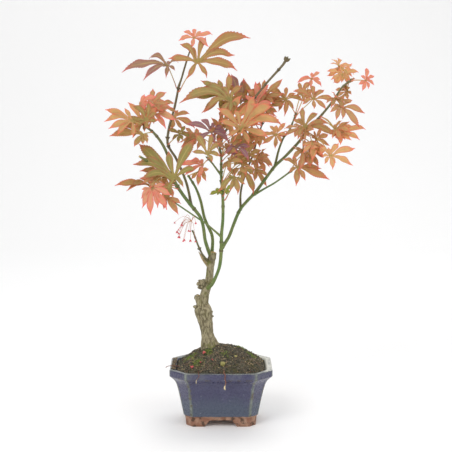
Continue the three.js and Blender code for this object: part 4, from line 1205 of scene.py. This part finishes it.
def build_moss():
    rng = random.Random(11)
    sheet = Sheet("tone")
    for x, y, spread, count in (
        (-34, 2, 3.2, 340), (-14, -6, 2.8, 240), (-26, -20, 3.0, 200),
        (22, 22, 4.0, 380), (34, 8, 3.0, 160), (4, -12, 2.6, 90),
    ):
        centre = (POT_MIDDLE.x + x * MM, POT_MIDDLE.y + y * MM)
        for _ in range(count):
            at = on_soil(rng, 0.98, centre, spread * MM)
            lean = Vector((rng.uniform(-0.7, 0.7), rng.uniform(-0.7, 0.7), 1)).normalized()
            tall, tone = rng.uniform(0.7, 1.7) * MM, rng.random()
            points = [at - UP * 0.2 * MM, at + lean * tall * 0.5, at + lean * tall + UP * tall * 0.15]
            radii = [0.24 * MM, 0.2 * MM, 0.03 * MM]
            sheet.tube(points, radii, 4, values=lambda _, tone=tone: {"tone": tone})
    sheet.finish("moss_tufts", [grain_finish("moss", "4a5824", "92a448", 0.8, 0.8)], slot="soil")


def build_petals():
    """Fallen petals on the soil, each one cupped."""
    rng = random.Random(21)
    sheet = Sheet("tone")
    for x, y, size, turn in (
        (-18, -9, 4.0, 0.4), (-32, -27, 3.6, 1.9), (-10, -20, 2.4, 2.7), (-22, -22, 1.8, 0.9),
    ):
        at = Vector((POT_MIDDLE.x + x * MM, POT_MIDDLE.y + y * MM, 0))
        at.z = soil_height(at.x, at.y) + 1.4 * MM
        way = Vector((math.cos(turn), math.sin(turn), 0.5)).normalized()
        across = Vector((-math.sin(turn), math.cos(turn), 0.2)).normalized()
        up = way.cross(across).normalized()
        rings = []
        for s in (i / 8 for i in range(9)):
            half = size * MM * 0.5 * math.sin(math.pi * (0.06 + 0.88 * s)) ** 0.7
            lift = size * MM * 0.35 * math.sin(math.pi * s)
            ring = []
            for v in (j / 3 - 1 for j in range(7)):
                spot = at + way * size * MM * (s - 0.5) + across * half * v + up * (lift + 0.4 * half * v * v)
                ring.append(sheet.corner(spot, tone=rng.random()))
            rings.append(ring)
        sheet.skin(rings, closed=False)
    thicken(sheet)
    sheet.finish("fallen_petals", [grain_finish("petal", "a5323c", "dc6a66", 0.6)], slot="leaf_pink")
    return rng


def build_rootlets(rng):
    """Dry rootlets that lie on the soil, most of them in front of the trunk."""
    sheet = Sheet("tone")
    for _ in range(300):
        front = rng.random() < 0.7
        start = on_soil(rng, 0.97)
        if front and start.y > POT_MIDDLE.y - 8 * MM:
            continue
        angle, length = rng.uniform(0, 2 * math.pi), rng.uniform(5, 15) * MM
        points = []
        for i in range(9):
            x = start.x + math.cos(angle) * length * i / 8
            y = start.y + math.sin(angle) * length * i / 8
            flat = from_trunk(x, y)
            if flat.length > 0.98 * edge_reach(flat):
                break
            points.append(ground(x, y, 0.25 * MM))
            angle += rng.uniform(-0.4, 0.4)
        if len(points) < 4:
            continue
        thick, tone = rng.uniform(0.14, 0.34) * MM, rng.random()
        radii = [thick * (1 - 0.6 * i / len(points)) for i in range(len(points))]
        sheet.tube(points, radii, 5, values=lambda _, tone=tone: {"tone": tone})
    sheet.finish("rootlets", [grain_finish("rootlet", "62483a", "a08a6e", 0.75)], slot="soil")


def build_rim_rootlets():
    """The dry rootlets that hang over the rim: one with a pale knot at its end, and two plain ones."""
    sheet = Sheet("tone")
    for x, reach, side, thick in ((3, 17, 3, 0.5), (-25, 10, -1, 0.3)):
        line = [
            (0, 12, 0.8), (0.4, 8, 0.9), (0.8, 4, 0.4), (1.0, 0.5, 0.6), (1.1, -0.7, 0.0), (1.4, -1.1, -2.0),
            (0.5 * side, -1.2, -reach * 0.6), (0.8 * side, -1.0, -reach),
        ]
        foot = Vector((POT_MIDDLE.x + x * MM, pot_low.y, POT_TOP))
        points = [foot + Vector(at) * MM for at in line]
        points[0].z = soil_height(points[0].x, points[0].y) + 0.5 * MM
        stops, points = evenly(1 * MM, points)
        waves = [noise.noise(Vector((x, 3, stop * 160))) for stop in stops]
        points = [point + Vector((2.2 * MM * wave, 0, 0)) for point, wave in zip(points, waves)]
        radii = [thick * MM * (1 + 0.35 * noise.noise(point * 300)) for point in points]
        if side == 3:
            radii[-5:] = [r * k for r, k in zip(radii[-5:], (1.1, 1.5, 1.8, 1.5, 0.8))]
        sheet.tube(points, radii, 7, values=lambda share: {"tone": smooth_step(share, 0.8, 0.9) * 1.4})
    left = Vector((pot_low.x, POT_MIDDLE.y, POT_TOP))
    line = ((11, -14, 0.2), (4, -16, 1.2), (0.5, -17, 1.6), (-3, -18, 1.0), (-4.2, -18.5, -0.2))
    _, points = evenly(1 * MM, [left + Vector(at) * MM for at in line])
    sheet.tube(points, [0.4 * MM] * len(points), 6, values=lambda _: {"tone": 0.0})
    sheet.finish("rim_rootlets", [grain_finish("dry_root", "7a4a38", "e2d0a2", 0.8)], slot="soil")


# ---- flowers ----


def build_flowers():
    """A tired cluster of small red flowers on thin hanging stalks."""
    rng = random.Random(31)
    low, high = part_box("flower_cluster")
    wide, deep, tall = high - low
    head = Vector((high.x - 0.04 * wide, (low.y + high.y) / 2, high.z - 0.06 * tall))
    _, surface, outward = nearest_wood(head)
    sheet = Sheet("tone")
    root = surface - outward * 0.6 * MM
    _, points = evenly(1 * MM, [root, root.lerp(head, 0.5) + UP * 1.5 * MM, head])
    sheet.tube(points, [0.4 * MM] * len(points), 7, values=lambda _: {"tone": 0.0})
    for k in range(15):
        aside = rng.uniform(-1.0, 0.25) * wide * 0.85
        drop = rng.uniform(0.35, 1.0) * tall * 0.92 if k % 3 else rng.uniform(0.0, 0.4) * tall
        end = head + Vector((aside, rng.uniform(-0.45, 0.45) * deep, -drop))
        bend = head.lerp(end, 0.45) + UP * rng.uniform(0.05, 0.3) * tall
        _, points = evenly(1 * MM, [head, bend, end])
        sheet.tube(points, [0.17 * MM] * len(points), 6, values=lambda share: {"tone": 0.5 * share})
        size = rng.uniform(1.5, 2.6) * MM
        for petal in range(5):
            angle = math.tau * petal / 5 + k
            way = Vector((math.cos(angle) * 0.6, math.sin(angle) * 0.6, -1)).normalized()
            lobe = [end, end + way * size * 0.6, end + way * size * 1.1 - UP * size * 0.1]
            sheet.tube(lobe, [size * 0.16, size * 0.26, size * 0.06], 5, values=lambda _: {"tone": 1.1})
    slot = SLOT_OF["flower_cluster"]
    sheet.finish("flowers", [grain_finish("flower", "c08a62", "d85c62", 0.5)], ["flower_cluster"], slot)


# ---- the whole object ----

PAIRS = {
    "left_branch": 2, "right_branch": 2, "upright_twig": 3,
    "centre_branch": 2, "right_leafy_twig": 1, "small_right_twig": 1,
}


def find_joints():
    """Where along each shoot its leaves and side shoots grow, so that it swells there."""
    lines = {name: read_rod(name)[0] for name in SHOOTS}
    starts = [(stalk["end"], None) for _, _, _, stalk in LEAF_SHAPES.values()]
    starts += [(lines[name][0], name) for name in SHOOTS]
    joints = {name: [] for name in SHOOTS}
    for start, but in starts:
        parent, surface, _ = nearest_wood(start, but=but)
        if parent != "trunk":
            middles = lines[parent]
            nearest = min(range(len(middles)), key=lambda k: (middles[k] - surface).length)
            joints[parent].append(lengths(middles)[nearest])
    return joints


LEAF_SHAPES = {leaf: read_leaf(leaf) for leaf in LEAVES}
JOINTS = find_joints()
for shoot in SHOOTS:
    build_shoot(shoot)
for leaf in LEAVES:
    build_leaf(leaf)
    for number in range(PAIRS.get(leaf.split("_leaf_")[0], 0)):
        build_pair(leaf, number)
build_sprigs()
build_trunk()
build_bark_lumps()
build_pot()
build_soil()
build_grit()
build_moss()
build_rootlets(build_petals())
build_rim_rootlets()
build_flowers()
screen = nodes["drain_screen"].data
screen.materials.clear()
screen.materials.append(grain_finish("screen_plastic", "24312a", "3c4a3c", 0.5))


# ---- floor, light and camera ----


def build_backdrop():
    """A pale floor that curves up into the wall behind."""
    sheet = Sheet()
    line = [(-3.0, 0.0), (1.2, 0.0)]
    line += [(1.2 + 0.8 * math.sin(a), 0.8 - 0.8 * math.cos(a)) for a in np.linspace(0, math.pi / 2, 16)[1:]]
    line.append((2.0, 4.0))
    sheet.skin([[sheet.corner((x, y, z)) for x in (-4.0, 4.0)] for y, z in line], closed=False)
    floor = add_object("floor", sheet.mesh("floor"))
    f = Finish("pale_floor")
    roughness = f.step(f.noise(40 * MM, 2), 0, 1, 0.8, 0.9)
    floor.data.materials.append(f.plain((0.97, 0.97, 0.97, 1), roughness))


def aim(made, spot, target):
    made.location = spot
    made.rotation_euler = (target - spot).to_track_quat("-Z", "Y").to_euler()


def build_light():
    """Three soft lamps round the part, and an even white world."""
    middle = Vector((0, 0, cad_high.z / 2))
    for name, spot, size, watts in (
        ("key", (-0.9, -1.4, 1.5), 1.0, 15),
        ("fill", (1.4, -1.0, 0.8), 1.5, 6),
        ("back", (0.3, 1.0, 1.6), 1.2, 7),
    ):
        light = bpy.data.lights.new(name, "AREA")
        light.size = size
        light.energy = watts
        aim(add_object(name, light), Vector(spot), middle)
    world = bpy.data.worlds.new("studio")
    world.use_nodes = True
    glow = world.node_tree.nodes["Background"].inputs
    glow["Color"].default_value = (1, 1, 1, 1)
    glow["Strength"].default_value = 0.7
    bpy.context.scene.world = world


def build_camera():
    """Level with the crown, looking slightly down, as the part is seen from the front."""
    distance, elevation, width = 1.1, math.radians(7), 0.4972
    target = Vector((POT_MIDDLE.x + 5.5 * MM, TRUNK_FOOT.y, cad_high.z / 2))
    camera = add_object("camera", bpy.data.cameras.new("camera"))
    camera.data.angle = 2 * math.atan(width / 2 / distance)
    aim(camera, target + Vector((0, -math.cos(elevation), math.sin(elevation))) * distance, target)
    bpy.context.scene.camera = camera


build_backdrop()
build_camera()
build_light()
bpy.context.scene.view_settings.view_transform = "Standard"
